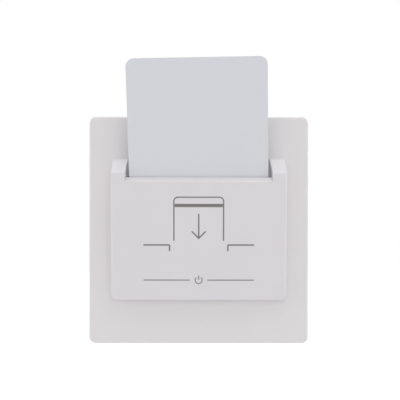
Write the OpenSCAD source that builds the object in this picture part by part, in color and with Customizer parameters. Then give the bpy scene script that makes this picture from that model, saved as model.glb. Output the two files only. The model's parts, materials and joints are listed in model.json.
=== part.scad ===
// Hotel key card switch for a wall box, in millimetres.
// X runs to the right, Y into the wall and Z up. The origin is the middle of the
// two box screws in the wall plane, so the front faces -Y and the works reach +Y.

/* [Front plate] */
// Width of the front plate
plate_w = 86; // [84:0.5:92]
// Height of the front plate
plate_h = 89; // [88:0.5:96]
// How far the front face stands off the wall
plate_depth = 8; // [7.6:0.1:9]
// Thickness of the plate's face and sides
plate_wall = 2.2; // [1.8:0.1:2.4]
// Corner radius of the plate seen from the front
plate_corner_r = 2.4; // [1.6:0.1:4]
// Rounding of the plate's front edge
plate_edge_r = 0.7; // [0.5:0.1:1.4]

/* [Card pocket] */
// Width of each arm beside the slot
arm_w = 5.5; // [5:0.1:6]
// Room beside the card in the slot, on each side
slot_play = 1.51; // [1.25:0.01:2]
// Distance of the pocket's lower edge below the plate's middle
pocket_drop = 27.3; // [26.5:0.1:30]
// How far the pocket's foot stands off the plate
pocket_foot = 3.7; // [3.2:0.1:5]
// Forward lean of the pocket's front face in degrees
pocket_lean = 5.5; // [4.5:0.1:6.5]
// Height of the arms' front edge above the plate's middle
arm_top = 22.6; // [21.5:0.1:24]
// Height of the lip's front edge above the plate's middle
lip_top = 18.9; // [18:0.1:20]
// Backward slope of the arms' tops in degrees
arm_slope = 31.5; // [25:0.5:36]
// Backward slope of the lip's top in degrees
lip_slope = 36; // [28:0.5:38]
// Thickness of the pocket's front wall
pocket_wall = 2.7; // [2.2:0.1:3]
// Rounding of the pocket's edges
pocket_edge_r = 0.7; // [0.4:0.1:0.9]
// Radius of the pocket's lower corners seen from the front
pocket_corner_r = 2.4; // [1.5:0.1:3.5]

/* [Key card] */
// Width of the key card
card_w = 53.98; // [53.92:0.01:54.04]
// Length of the key card
card_h = 85.6; // [85.47:0.01:85.72]
// Thickness of the key card
card_t = 0.76; // [0.6:0.02:0.84]
// Corner radius of the key card
card_corner_r = 3.18; // [2.88:0.01:3.48]
// Depth of the card's lower edge below the plate's middle
card_rest = 17.8; // [17:0.1:18]
// Distance of the card's lower edge in front of the wall
card_foot = 4.8; // [4.7:0.05:5]
// How far the loose card is canted in the slot, in degrees
card_cant = 1.2; // [0:0.1:1.3]
// Room between the card's faces and the lip and ribs
card_play = 0.3; // [0.25:0.05:0.5]

/* [Lever and switch] */
// Distance of the lever's pivot behind the wall plane
pivot_y = 3; // [2.8:0.1:3.4]
// Depth of the lever's pivot below the plate's middle
pivot_drop = 2; // [1.6:0.1:2.2]
// Diameter of the lever's pin
pin_d = 2; // [1.8:0.1:2.2]
// Radial clearance between pin and lever
pin_fit = 0.05; // [0.03:0.01:0.08]
// Width of the lever's nose
lever_w = 8; // [6:0.5:9]
// Gap left between the lever's nose and the resting card
nose_gap = 0.6; // [0.5:0.05:0.7]
// Length of the microswitch
switch_l = 19.8; // [19:0.1:20.5]
// Width of the microswitch
switch_w = 6.4; // [6:0.1:6.6]
// Diameter of the microswitch plunger
plunger_d = 2.8; // [2.4:0.1:3]
// Radial clearance around the plunger
plunger_fit = 0.08; // [0.05:0.01:0.1]

/* [Wall box fixing] */
// Spacing of the two box screw holes
box_pitch = 60.3; // [60:0.1:60.6]
// Diameter of the box screw holes
box_hole_d = 4.2; // [4:0.1:4.5]
// Width of the mounting frame
frame_w = 74; // [72:0.5:76]
// Thickness of the mounting frame
frame_t = 2.4; // [2.2:0.1:2.4]

/* [Rear housing] */
// Width of the rear housing
housing_w = 49; // [48.6:0.1:50]
// Height of the rear housing
housing_h = 51; // [50.6:0.1:52]
// Depth of the rear housing behind the wall plane
housing_depth = 33; // [32.6:0.1:36]
// Wall thickness of the rear housing
housing_wall = 1.8; // [1.6:0.1:2]

/* [Circuit board] */
// Distance of the board's front face behind the wall plane
board_y = 14.2; // [13.8:0.1:14.4]
// Thickness of the circuit board
board_t = 1.6; // [1.4:0.1:1.6]
// Diameter of the board's solder holes
solder_hole_d = 1.1; // [1:0.05:1.3]
// Diameter of the component leads
lead_d = 0.8; // [0.6:0.05:0.9]

/* [Terminals] */
// Spacing of the four terminals
terminal_pitch = 10; // [9.8:0.1:10]
// Diameter of the wire entry in each clamp
wire_d = 3.8; // [3.4:0.1:4]
// Diameter of the terminal screws
terminal_screw_d = 3.4; // [3:0.1:3.5]

/* [Hidden] */
$fn = 48;

// Cutters run this far past the face they open
over = 1;
// Parts that are set beside each other with no fit stay this far apart
gap = 0.3;
// Sliding clearance between a screw and its clearance hole
screw_play = 0.3;
// Clearance between a screw and the hole it cuts its thread in
thread_play = 0.05;

// Depths of the plate's face, outside and inside
front_y = -plate_depth;
inner_y = front_y + plate_wall;

// Pocket outline in the side view: depth p is counted forwards from the plate's face
function pocket_front(z) = pocket_foot + (z + pocket_drop) * tan(pocket_lean);
wall_run = pocket_wall / cos(pocket_lean);
function pocket_inside(z) = pocket_front(z) - wall_run;
lip_p = pocket_front(lip_top);
arm_p = pocket_front(arm_top);
lip_run = wall_run / (1 + tan(lip_slope) * tan(pocket_lean));
lip_back_p = lip_p - lip_run;
lip_back_z = lip_top + lip_run * tan(lip_slope);
arm_back_z = arm_top + arm_p * tan(arm_slope);
slot_half = card_w / 2 + slot_play;
pocket_half = slot_half + arm_w;
arm_mid = (slot_half + pocket_half) / 2;

// The card leans from its foot behind the plate's face to the back of the lip
card_half_y = 0.511 * card_t;
card_run = plate_depth + lip_back_p - card_play - card_half_y - card_foot;
card_lean = atan(card_run / (lip_back_z + card_rest));
function card_y(z) = -card_foot - (z + card_rest) * tan(card_lean);
card_foot_x = (lip_back_z + card_rest) * tan(card_cant);
card_low = card_rest + card_w / 2 * sin(card_cant) + card_t / 2 * sin(card_lean);

// Window in the plate's face that the card's foot passes through
window_lift = 0.3;
window_top = lip_back_z + window_lift;
window_bottom = -pocket_drop + 4.3;

// Guide behind the window: a flange with a shallow pan below
guide_t = 1.2;
pan_back_y = -frame_t - 0.2;
pan_front_y = pan_back_y - guide_t;
pan_top = -8.2;
pan_bottom = -card_low - gap;
guide_top = window_top + 3.4;
guide_bottom = window_bottom - 2;
guide_back_y = inner_y + guide_t;
guide_half = pocket_half - 0.2;
pan_half = slot_half + 0.7;
driver_hole_d = 8.4;
rib_t = 1.4;
guide_rib_x = [9.5, 20];
pocket_rib_x = [8, 22];
rib_top = 8;
rib_taper = 3;

// Screws that hold pocket, plate and guide together
pocket_screw_d = 2.2;
pocket_screw_z = [-17, 20];
pocket_screw_reach = 3;
pocket_head_d = 3.8;
pocket_head_t = 1.5;

// Mounting frame and the hooks that hold the plate on it
frame_h = plate_h - 10.8;
hook_x = 22;
hook_w = 9;
hook_t = 1.4;
hook_barb = 0.9;
frame_seat = 0.4;
pry_w = 10;
pry_t = 1.2;
boss_r = 3;
boss_front_y = -frame_t - 2.2;
housing_screw_x = 19;
housing_screw_d = 2.6;
housing_screw_head_d = 5.2;
housing_screw_head_t = 1.8;

// Rear housing
flange_t = 2.4;
flange_margin = 6.5;
flange_h = housing_h + 2 * flange_margin;
housing_corner_r = 2;
housing_bevel = 1.2;
housing_screw_z = housing_h / 2 + 3.2;
housing_in_w = housing_w - 2 * housing_wall;
housing_in_h = housing_h - 2 * housing_wall;
housing_in_y = housing_depth - housing_wall;
gusset_x = 9;
gusset_t = 1.4;
gusset_run = 4.6;

// Lever: a hub on the pin, a blade hanging down and a foot reaching the card
pivot_z = -pivot_drop;
pin_r = pin_d / 2;
hub_r = pin_r + 1.4;
nose_z = -12.5;
nose_r = 1.2;
nose_y = card_y(nose_z) + card_half_y + nose_gap + nose_r;
blade_back_y = pivot_y + 1.7;
blade_t = 2.2;
lug_in = 6.7;
lug_t = 2;
lug_r = 2.5;
hub_left = -6.4;
hub_right = 2.6;
shoulder_z = pivot_z - hub_r - 1.6;
window_half = lever_w / 2 + 1.2;
lever_window_top = -4.6;
lever_window_bottom = -15.4;

// Torsion spring round the pin
wire_r = 0.25;
coil_r = pin_r + 0.65;
coil_turns = 5;
coil_start = hub_right + 0.55;
coil_pitch = 0.58;

// Microswitch: the plunger is pressed in while the card is in place
switch_z = pivot_z - lug_r - switch_w / 2 - gap;
switch_front_y = blade_back_y + 0.9;
plunger_r = plunger_d / 2;
plunger_tip_y = blade_back_y + 0.2;
plunger_l = 3.2;
plunger_bore_l = 3;
switch_x = 2.4;
switch_pin_pitch = 7.8;
switch_pin_x = [for (i = [-1 : 1]) switch_x + i * switch_pin_pitch];
switch_hole_span = 9.5;
switch_hole_d = 2.4;
switch_hole_y = board_y - 3;

// Circuit board and what stands on its back
board_back_y = board_y + board_t;
board_w = housing_in_w - 0.8;
board_h = housing_in_h - 0.6;
post_x = 19;
post_z = board_h / 2 - 3.2;
vent_w = 1.6;
vent_l = 9;
vent_pitch = 3.6;
vent_count = 6;
vent_bottom = -6.5;
vent_y = board_back_y + 3;
post_r = 2.6;
board_screw_d = 2.2;
board_head_d = 4.2;
board_head_t = 1.7;
board_screw_l = 7;
lead_end_y = board_y - 0.8;

// Component sizes are [along x, along y, along z], places are [x, z] of the middle
relay_size = [19, 15, 15.4];
relay_at = [-9.6, 5];
relay_span = [14, 12];
dropper_size = [18, 14.2, 8.4];
dropper_at = [-6.8, 17.6];
dropper_span = 15;
case_corner_r = 0.8;
case_bevel = 0.6;
can_d = 8;
can_l = 14;
can_at = [16, -7.4];
can_span = 3.5;
crimp_y = 2;
crimp_t = 0.4;
varistor_d = 9;
varistor_t = 4;
varistor_edge_r = 1.2;
varistor_at = [16.6, 3];
varistor_span = 5;
fuse_d = 8.4;
fuse_l = 8;
fuse_at = [-15.6, -8];
fuse_span = 5;
row_span = 7.62;
leg_pitch = 2.54;
leg_w = 0.5;
leg_t = 0.3;
leg_shoulder = 1.2;
chip_lift = 0.5;
chip_draft = 0.3;
bridge_size = [8.4, 3.3, 6.4];
bridge_at = [6.4, 3.4];
chip_size = [9.4, 3.4, 6.4];
chip_at = [8, 12.2];
transistor_d = 4.6;
transistor_l = 4.6;
transistor_flat = 1.3;
transistor_at = [17, 12];
transistor_pitch = 1.3;
resistor_d = 4;
resistor_l = 9;
resistor_cap_l = 1.8;
resistor_waist = 0.3;
resistor_at = [9.3, 18.6];
resistor_span = 12;

// Terminal block along the board's lower edge
block_half = 2 * terminal_pitch + 0.2;
block_bottom = -board_h / 2 - 0.1;
block_top = block_bottom + 9.6;
block_depth = 12.4;
block_back_y = board_back_y + block_depth;
clamp_w = 6;
clamp_h = 6.5;
clamp_l = 8;
clamp_y = board_back_y + 1.8;
clamp_bottom = block_bottom + 0.8;
clamp_mid_z = clamp_bottom + clamp_h / 2;
wire_y = clamp_y + wire_d / 2 + 0.8;
clamp_fit = 0.1;
terminal_head_d = 5.8;
terminal_head_t = 1.9;
terminal_x = [for (i = [0 : 3]) (i - 1.5) * terminal_pitch];

// Lead places [x, z] on the board for each component
function pair_x(at, span) = [for (s = [-1, 1]) [at[0] + s * span / 2, at[1]]];
function pair_z(at, span) = [for (s = [-1, 1]) [at[0], at[1] + s * span / 2]];
function grid(at, nx, px, pz) =
    [for (i = [0 : nx - 1], s = [-1, 1]) [at[0] + (i - (nx - 1) / 2) * px, at[1] + s * pz / 2]];
relay_leads = grid(relay_at, 2, relay_span[0], relay_span[1]);
dropper_leads = pair_x(dropper_at, dropper_span);
can_leads = pair_x(can_at, can_span);
varistor_leads = pair_z(varistor_at, varistor_span);
fuse_leads = pair_x(fuse_at, fuse_span);
bridge_leads = grid(bridge_at, 2, 2 * leg_pitch, row_span);
chip_leads = grid(chip_at, 4, leg_pitch, row_span);
transistor_leads =
    [for (i = [-1 : 1]) [transistor_at[0] + i * transistor_pitch, transistor_at[1]]];
resistor_leads = pair_x(resistor_at, resistor_span);
switch_leads = [for (x = switch_pin_x) [x, switch_z]];
block_leads = [for (x = terminal_x) [x, clamp_mid_z]];
all_leads = concat(
    relay_leads, dropper_leads, can_leads, varistor_leads, fuse_leads, bridge_leads,
    chip_leads, transistor_leads, resistor_leads, switch_leads, block_leads
);

// Front-view outline of the children, extruded from depth y0 to depth y1
module front_prism(y0, y1) {
    translate([0, y1, 0]) rotate([90, 0, 0]) linear_extrude(y1 - y0) children();
}

// Side-view outline (y, z) of the children, extruded from x0 to x1
module side_prism(x0, x1) {
    translate([x0, 0, 0]) rotate([90, 0, 90]) linear_extrude(x1 - x0) children();
}

// Round bar along Y at [x, z] from depth y0 to depth y1
module bar_y(at, d, y0, y1) {
    translate([at[0], y1, at[1]]) rotate([90, 0, 0]) cylinder(d = d, h = y1 - y0);
}

// Round bar along X at [y, z] from x0 to x1
module bar_x(at, d, x0, x1) {
    translate([x0, at[0], at[1]]) rotate([0, 90, 0]) cylinder(d = d, h = x1 - x0);
}

// Box between two corners
module block(low, high) {
    translate(low) cube(high - low);
}

// Rectangle with round corners, about its middle
module rounded_rect(w, h, r) {
    square([w - 2 * r, h], center = true);
    square([w, h - 2 * r], center = true);
    for (sx = [-1, 1], sy = [-1, 1])
        translate([sx * (w / 2 - r), sy * (h / 2 - r)]) circle(r);
}

// Four copies of the children at plus and minus x, for each height in a list
module at_corners(x, heights) {
    for (sx = [-1, 1], z = heights)
        translate([sx * x, 0, z]) children();
}

// Pan head screw along Y: the head's seat is at depth seat_y, the tip at tip_y,
// and a cross recess is cut in the head
module pan_screw(d, head_d, head_t, seat_y, tip_y) {
    out = seat_y > tip_y ? 1 : -1;
    head_y = seat_y + out * head_t;
    difference() {
        union() {
            bar_y([0, 0], d, min(seat_y, tip_y), max(seat_y, tip_y));
            bar_y([0, 0], head_d, min(seat_y, head_y), max(seat_y, head_y));
        }
        for (a = [0, 90])
            translate([0, head_y, 0]) rotate([0, a, 0])
                cube([head_d * 0.6, head_t, head_d * 0.14], center = true);
    }
}

// Leads of a component, from its seat on the board's back through the board
module leads(places) {
    for (at = places)
        bar_y(at, lead_d, lead_end_y, board_back_y + 0.4);
}

// Prism along Z of the plan-view outline (x, y) of the children, about height z
module plan_prism(z, h) {
    translate([0, 0, z - h / 2]) linear_extrude(h) children();
}

// Outline that runs from depth y0 to y1 and is half wide; bevel cuts the corners at y1
function bevelled(y0, y1, half, bevel) = [
    [y0, -half], [y1 - bevel, -half], [y1, bevel - half],
    [y1, half - bevel], [y1 - bevel, half], [y0, half]
];

// Same outline with depth and width changed over, for the plan view
function turned(points) = [for (q = points) [q[1], q[0]]];

// Moulded box from depth y0 to y1 with round edges along Y and bevelled edges at y1
module bevelled_box(w, h, y0, y1, corner_r, bevel) {
    intersection() {
        front_prism(y0, y1) rounded_rect(w, h, corner_r);
        side_prism(-w, w) polygon(bevelled(y0, y1, h / 2, bevel));
        plan_prism(0, 2 * h) polygon(turned(bevelled(y0, y1, w / 2, bevel)));
    }
}

// Cased component on the board's back, with its leads
module cased_part(at, size, places) {
    translate([at[0], 0, at[1]])
        bevelled_box(size[0], size[2], board_back_y, board_back_y + size[1], case_corner_r, case_bevel);
    leads(places);
}

// Body of revolution along Y on the board's back; the profile holds [radius, height]
module turned_part(at, profile) {
    translate([at[0], board_back_y, at[1]])
        rotate([-90, 0, 0]) rotate_extrude() polygon(profile);
}

// Body of revolution along X at [x, y, z]; the profile holds [radius, distance along X]
module turned_across(at, profile) {
    translate(at) rotate([0, 90, 0]) rotate_extrude() polygon(profile);
}

// Outline of a package with mould draft: widest half way between its two ends
function drafted(half, low, high) = [
    [low, chip_draft - half], [(low + high) / 2, -half], [high, chip_draft - half],
    [high, half - chip_draft], [(low + high) / 2, half], [low, half - chip_draft]
];

// Package with two rows of bent legs on the board's back; a notch marks its first leg
module dual_row_part(at, size, places) {
    low = board_back_y + chip_lift;
    high = board_back_y + size[1];
    mid = (low + high) / 2;
    difference() {
        translate([at[0], 0, at[1]])
            intersection() {
                side_prism(-size[0] / 2, size[0] / 2) polygon(drafted(size[2] / 2, low, high));
                plan_prism(0, size[2]) polygon(turned(drafted(size[0] / 2, low, high)));
            }
        bar_y([at[0] - size[0] / 2, at[1]], 1.6, high - 0.4, high + over);
    }
    for (q = places) {
        side = sign(q[1] - at[1]);
        reach = abs(q[1] - at[1]) - size[2] / 2;
        block([q[0] - leg_w / 2, lead_end_y, q[1] - leg_t / 2],
            [q[0] + leg_w / 2, mid + leg_t / 2, q[1] + leg_t / 2]);
        translate([q[0], mid, q[1] - side * (reach / 2 + 0.2)])
            cube([leg_shoulder, leg_t, reach + 0.4 + leg_t], center = true);
    }
}

// Solid of the front plate before it is hollowed: four rounded corner posts, spanned
module plate_body() {
    post = concat(
        [[0, 0], [plate_corner_r, 0]],
        [for (a = [0 : 10 : 90]) [
            plate_corner_r - plate_edge_r * (1 - cos(a)),
            plate_depth - plate_edge_r * (1 - sin(a))
        ]],
        [[0, plate_depth]]
    );
    hull()
        at_corners(plate_w / 2 - plate_corner_r,
            [for (s = [-1, 1]) s * (plate_h / 2 - plate_corner_r)])
            rotate([90, 0, 0]) rotate_extrude($fn = 48) polygon(post);
}

// Snap hook of the plate at height z, its barb turned to the frame
module plate_hook(z) {
    s = sign(z);
    foot = frame_h / 2 + 0.2;
    mirror([0, 0, s > 0 ? 0 : 1])
        side_prism(-hook_w / 2, hook_w / 2)
            polygon([
                [inner_y - 0.5, foot], [-1.1, foot], [-1.1, foot - hook_barb],
                [-0.9, foot - hook_barb], [-0.3, foot], [-0.3, foot + hook_t],
                [inner_y - 0.5, foot + hook_t]
            ]);
}

module front_plate() {
    color([0.84, 0.83, 0.84]) {
        difference() {
            plate_body();
            front_prism(inner_y, over)
                rounded_rect(plate_w - 2 * plate_wall, plate_h - 2 * plate_wall, plate_corner_r - 0.8);
            block([-slot_half, front_y - over, window_bottom],
                [slot_half, inner_y + over, window_top]);
            at_corners(arm_mid, pocket_screw_z)
                bar_y([0, 0], pocket_screw_d + 2 * screw_play, front_y - over, inner_y + over);
            block([-pry_w / 2, -pry_t, -plate_h / 2 - over],
                [pry_w / 2, over, -plate_h / 2 + plate_wall + over]);
        }
        for (sx = [-1, 1], z = [-plate_h / 2, plate_h / 2])
            translate([sx * hook_x, 0, 0]) plate_hook(z);
    }
}

// Middle of a rounded edge: the point a radius inside both faces that meet at corner
function edge_middle(corner, n1, n2) = corner - pocket_edge_r * (n1 + n2) / (1 + n1 * n2);
face_n = [cos(pocket_lean), -sin(pocket_lean)];

// Convex block of the pocket between x0 and x1 whose top starts at front height top and
// rises backwards at slope degrees
module pocket_block(x0, x1, top, slope, bottom, corner_r) {
    r = pocket_edge_r;
    crest = edge_middle([pocket_front(top), top], face_n, [sin(slope), cos(slope)]);
    foot = edge_middle([pocket_front(bottom), bottom], face_n, [0, -1]);
    back_z = top + pocket_front(top) * tan(slope);
    inset = max(corner_r - r, 0);
    hull() {
        for (x = [x0 + r, x1 - r])
            translate([x, front_y - crest[0], crest[1]]) sphere(r, $fn = 24);
        for (x = [x0 + corner_r, x1 - corner_r]) {
            translate([x, front_y - foot[0] - inset * tan(pocket_lean), foot[1] + inset])
                rotate([90 + pocket_lean, 0, 0])
                    rotate_extrude($fn = 32)
                        intersection() {
                            translate([inset, 0]) circle(r, $fn = 24);
                            translate([0, -r]) square([inset + r, 2 * r]);
                        }
            bar_y([x, bottom + corner_r], 2 * corner_r, front_y - 0.1, front_y, $fn = 32);
        }
        block([x0, front_y - 0.1, back_z - 0.06], [x1, front_y, back_z - 0.05]);
    }
}

// Rib inside the pocket that keeps the card off the front wall
module pocket_rib() {
    low = pan_bottom + gap;
    high = lip_top - 5;
    side_prism(-rib_t / 2, rib_t / 2)
        polygon([
            [front_y - pocket_inside(low) - 0.5, low],
            [card_y(low) - card_half_y - card_play, low],
            [card_y(high) - card_half_y - card_play, high],
            [front_y - pocket_inside(high) - 0.5, high + 2]
        ]);
}

module card_pocket() {
    floor_z = -pocket_drop + 2.2;
    roof_z = arm_back_z + over;
    color([0.84, 0.83, 0.84]) {
        difference() {
            union() {
                pocket_block(-pocket_half, pocket_half, lip_top, lip_slope,
                    -pocket_drop, pocket_corner_r);
                pocket_block(-pocket_half, -slot_half, arm_top, arm_slope, 0, pocket_edge_r + 0.1);
                pocket_block(slot_half, pocket_half, arm_top, arm_slope, 0, pocket_edge_r + 0.1);
            }
            side_prism(-slot_half, slot_half)
                polygon([
                    [front_y + over, floor_z], [front_y - pocket_inside(floor_z), floor_z],
                    [front_y - pocket_inside(roof_z), roof_z], [front_y + over, roof_z]
                ]);
            at_corners(arm_mid, pocket_screw_z)
                bar_y([0, 0], pocket_screw_d + 2 * thread_play,
                    front_y - pocket_screw_reach - 0.4, front_y + over);
        }
        for (sx = [-1, 1], x = pocket_rib_x)
            translate([sx * x, 0, 0]) pocket_rib();
    }
}

module key_card() {
    color([0.82, 0.83, 0.86])
        translate([card_foot_x, -card_foot, -card_rest])
            rotate([card_lean, 0, 0]) rotate([0, -card_cant, 0])
                translate([0, 0, card_h / 2])
                    front_prism(-card_t / 2, card_t / 2) rounded_rect(card_w, card_h, card_corner_r);
}

// Rib of the guide that carries the card's back
module guide_rib() {
    back = card_half_y + card_play;
    root = pan_bottom - 0.5;
    side_prism(-rib_t / 2, rib_t / 2)
        polygon([
            [card_y(root) + back, root], [card_y(rib_top) + back, rib_top],
            [guide_back_y - 0.4, rib_top + rib_taper], [guide_back_y - 0.4, pan_top],
            [pan_back_y - 0.4, pan_top], [pan_back_y - 0.4, root]
        ]);
}

module card_guide() {
    color([0.80, 0.80, 0.80]) {
        difference() {
            union() {
                block([-guide_half, inner_y, guide_bottom], [guide_half, guide_back_y, guide_top]);
                block([-pan_half, guide_back_y - 0.1, guide_bottom],
                    [pan_half, pan_back_y, pan_top + guide_t]);
            }
            block([-slot_half + 0.1, inner_y - over, pan_bottom],
                [slot_half - 0.1, pan_front_y, pan_top]);
            block([-window_half, inner_y - over, lever_window_bottom],
                [window_half, over, lever_window_top]);
            for (sx = [-1, 1])
                bar_y([sx * box_pitch / 2, 0], driver_hole_d, inner_y - over, over);
            at_corners(arm_mid, pocket_screw_z)
                bar_y([0, 0], pocket_screw_d + 2 * screw_play, inner_y - over, over);
        }
        for (sx = [-1, 1], x = guide_rib_x)
            translate([sx * x, 0, 0]) guide_rib();
    }
}

module pocket_screws() {
    color([0.70, 0.70, 0.72])
        at_corners(arm_mid, pocket_screw_z)
            pan_screw(pocket_screw_d, pocket_head_d, pocket_head_t,
                guide_back_y, front_y - pocket_screw_reach);
}

// Ear of the frame that carries one end of the lever's pin
module pin_lug(x0, x1) {
    difference() {
        union() {
            bar_x([pivot_y, pivot_z], 2 * lug_r, x0, x1);
            block([x0, -frame_seat - 0.3, pivot_z - lug_r], [x1, pivot_y, pivot_z + lug_r]);
        }
        bar_x([pivot_y, pivot_z], pin_d, x0 - over, x1 + over);
    }
}

module mounting_frame() {
    corner_r = 3;
    ledge = 1.2;
    color([0.24, 0.25, 0.27]) {
        difference() {
            union() {
                front_prism(-frame_t, 0) rounded_rect(frame_w, frame_h, corner_r);
                at_corners(housing_screw_x, [-housing_screw_z, housing_screw_z])
                    bar_y([0, 0], 2 * boss_r, boss_front_y, -0.5);
            }
            block([-housing_w / 2 - 0.2, -frame_seat, -flange_h / 2 - 0.2],
                [housing_w / 2 + 0.2, over, flange_h / 2 + 0.2]);
            block([-window_half, -frame_t - over, lever_window_bottom],
                [window_half, over, lever_window_top]);
            for (sx = [-1, 1]) {
                bar_y([sx * box_pitch / 2, 0], box_hole_d, -frame_t - over, over);
                for (sz = [-1, 1])
                    translate([sx * hook_x, 0, sz * frame_h / 2])
                        block([-hook_w / 2 - 0.5, -ledge, -hook_barb - 0.4],
                            [hook_w / 2 + 0.5, over, hook_barb + 0.4]);
            }
            at_corners(housing_screw_x, [-housing_screw_z, housing_screw_z])
                bar_y([0, 0], housing_screw_d + 2 * thread_play, boss_front_y + 0.5, over);
        }
        pin_lug(-lug_in - lug_t, -lug_in);
        pin_lug(lug_in, lug_in + lug_t);
    }
}

// Slots through both sides of the housing that let the board's warmth out
module housing_vents() {
    half_w = housing_w / 2 + over;
    for (i = [0 : vent_count - 1]) {
        z = vent_bottom + i * vent_pitch;
        block([-half_w, vent_y, z - vent_w / 2], [half_w, vent_y + vent_l, z + vent_w / 2]);
        for (y = [vent_y, vent_y + vent_l])
            bar_x([y, z], vent_w, -half_w, half_w);
    }
}

// Gussets that stiffen the flange against the box
module flange_gussets() {
    back_y = flange_t - frame_seat;
    foot = housing_h / 2 - housing_wall / 2;
    head = housing_h / 2 + gusset_run;
    for (sx = [-1, 1], sz = [-1, 1])
        side_prism(sx * gusset_x - gusset_t / 2, sx * gusset_x + gusset_t / 2)
            polygon([
                [back_y - 0.4, sz * foot], [back_y + gusset_run, sz * foot],
                [back_y + gusset_run, sz * housing_h / 2], [back_y, sz * head], [back_y - 0.4, sz * head]
            ]);
}

module rear_housing() {
    rib_z = [-12, -9.4];
    window_w = block_half - 0.6;
    color([0.88, 0.88, 0.86]) {
        difference() {
            union() {
                bevelled_box(housing_w, housing_h, -frame_seat, housing_depth,
                    housing_corner_r, housing_bevel);
                block([-housing_w / 2, -frame_seat, -flange_h / 2],
                    [housing_w / 2, flange_t - frame_seat, flange_h / 2]);
                flange_gussets();
            }
            housing_vents();
            front_prism(-frame_seat - over, housing_in_y)
                rounded_rect(housing_in_w, housing_in_h, housing_corner_r / 2);
            at_corners(housing_screw_x, [-housing_screw_z, housing_screw_z])
                bar_y([0, 0], housing_screw_d + 2 * screw_play, -over, flange_t + over);
            block([-window_w, board_back_y + 0.8, -housing_h / 2 - over],
                [window_w, block_back_y - 0.8, -housing_in_h / 2 + over]);
            block([-window_w, housing_in_y - over, clamp_mid_z - 3.4],
                [window_w, housing_depth + over, clamp_mid_z + 3.4]);
        }
        for (sx = [-1, 1])
            difference() {
                bar_y([sx * post_x, post_z], 2 * post_r, board_back_y, housing_in_y + 0.5);
                bar_y([sx * post_x, post_z], board_screw_d + 2 * thread_play,
                    board_back_y - over, board_y + board_screw_l + 1);
            }
        for (sx = [-1, 1])
            translate([sx * (housing_in_w / 2 - 0.6), 0, 0])
                block([-0.9, board_back_y, rib_z[0]], [0.9, housing_in_y + 0.5, rib_z[1]]);
    }
}

module housing_screws() {
    color([0.70, 0.70, 0.72])
        at_corners(housing_screw_x, [-housing_screw_z, housing_screw_z])
            pan_screw(housing_screw_d, housing_screw_head_d, housing_screw_head_t,
                flange_t - frame_seat, boss_front_y + 0.9);
}

module actuator_lever() {
    blade_front = blade_back_y - blade_t;
    color([0.92, 0.91, 0.86])
        difference() {
            union() {
                bar_x([pivot_y, pivot_z], 2 * hub_r, hub_left, hub_right);
                block([-lever_w / 2, blade_front, nose_z], [hub_right, blade_back_y, pivot_z]);
                side_prism(-lever_w / 2, lever_w / 2) {
                    polygon([
                        [nose_y, nose_z - nose_r], [blade_back_y, nose_z - nose_r],
                        [blade_back_y, shoulder_z], [blade_front, shoulder_z],
                        [blade_front, nose_z + 3.4], [blade_front - 2.2, nose_z + nose_r],
                        [nose_y, nose_z + nose_r]
                    ]);
                    translate([nose_y, nose_z]) circle(nose_r);
                }
            }
            bar_x([pivot_y, pivot_z], pin_d + 2 * pin_fit, hub_left - over, hub_right + over);
        }
}

module lever_pin() {
    color([0.75, 0.75, 0.77])
        bar_x([pivot_y, pivot_z], pin_d, -lug_in - lug_t, lug_in + lug_t);
}

// Closed tube of radius r along a list of points; each ring lies across the path
function unit(v) = v / norm(v);
function heading(p, i) = unit(p[min(i + 1, len(p) - 1)] - p[max(i - 1, 0)]);
function ring_side(t) = unit(cross(t, abs(t[0]) > 0.9 ? [0, 1, 0] : [1, 0, 0]));
module tube(path, r, sides) {
    n = len(path);
    points = [
        for (i = [0 : n - 1])
            let (t = heading(path, i), u = ring_side(t), v = cross(t, u))
                for (k = [0 : sides - 1])
                    path[i] + r * (cos(360 * k / sides) * u + sin(360 * k / sides) * v)
    ];
    sleeve = [
        for (i = [0 : n - 2], k = [0 : sides - 1])
            let (a = i * sides, b = a + sides, j = (k + 1) % sides)
                [a + k, b + k, b + j, a + j]
    ];
    caps = [[for (k = [0 : sides - 1]) k], [for (k = [sides - 1 : -1 : 0]) (n - 1) * sides + k]];
    polyhedron(points, concat(sleeve, caps));
}

// One leg bears on the blade's back, the other on the frame, and both leave the coil
// along its tangent
module lever_spring() {
    steps = 22 * coil_turns;
    leg_y = blade_back_y + wire_r + 0.15 - pivot_y;
    leg_h = hub_r + 2.4;
    turn_from = acos(coil_r / norm([leg_y, leg_h])) - atan2(leg_h, leg_y);
    turn_to = 60 + 360 * coil_turns;
    coil = [
        for (k = [0 : steps])
            let (a = turn_from + (turn_to - turn_from) * k / steps)
                [coil_start + coil_pitch * coil_turns * k / steps,
                    pivot_y + coil_r * cos(a), pivot_z + coil_r * sin(a)]
    ];
    last = coil[steps];
    reach = (last[1] + frame_seat - wire_r - 0.05) / sin(turn_to);
    blade_leg = [coil_start, pivot_y + leg_y, pivot_z - leg_h];
    frame_leg = last + reach * [0, -sin(turn_to), cos(turn_to)];
    color([0.72, 0.72, 0.74])
        tube(concat([blade_leg], coil, [frame_leg]), wire_r, 8);
}

module microswitch_case() {
    color([0.16, 0.16, 0.18])
        difference() {
            union() {
                block([switch_x - switch_l / 2, switch_front_y, switch_z - switch_w / 2],
                    [switch_x + switch_l / 2, board_y, switch_z + switch_w / 2]);
            }
            bar_y([0, switch_z], plunger_d + 2 * plunger_fit,
                switch_front_y - over, switch_front_y + plunger_bore_l);
            for (s = [-1, 1])
                translate([switch_x + s * switch_hole_span / 2, switch_hole_y, switch_z])
                    cylinder(d = switch_hole_d, h = switch_w + 2 * over, center = true);
        }
}

module microswitch_plunger() {
    color([0.75, 0.18, 0.15])
        bar_y([0, switch_z], plunger_d, plunger_tip_y, plunger_tip_y + plunger_l);
}

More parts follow.
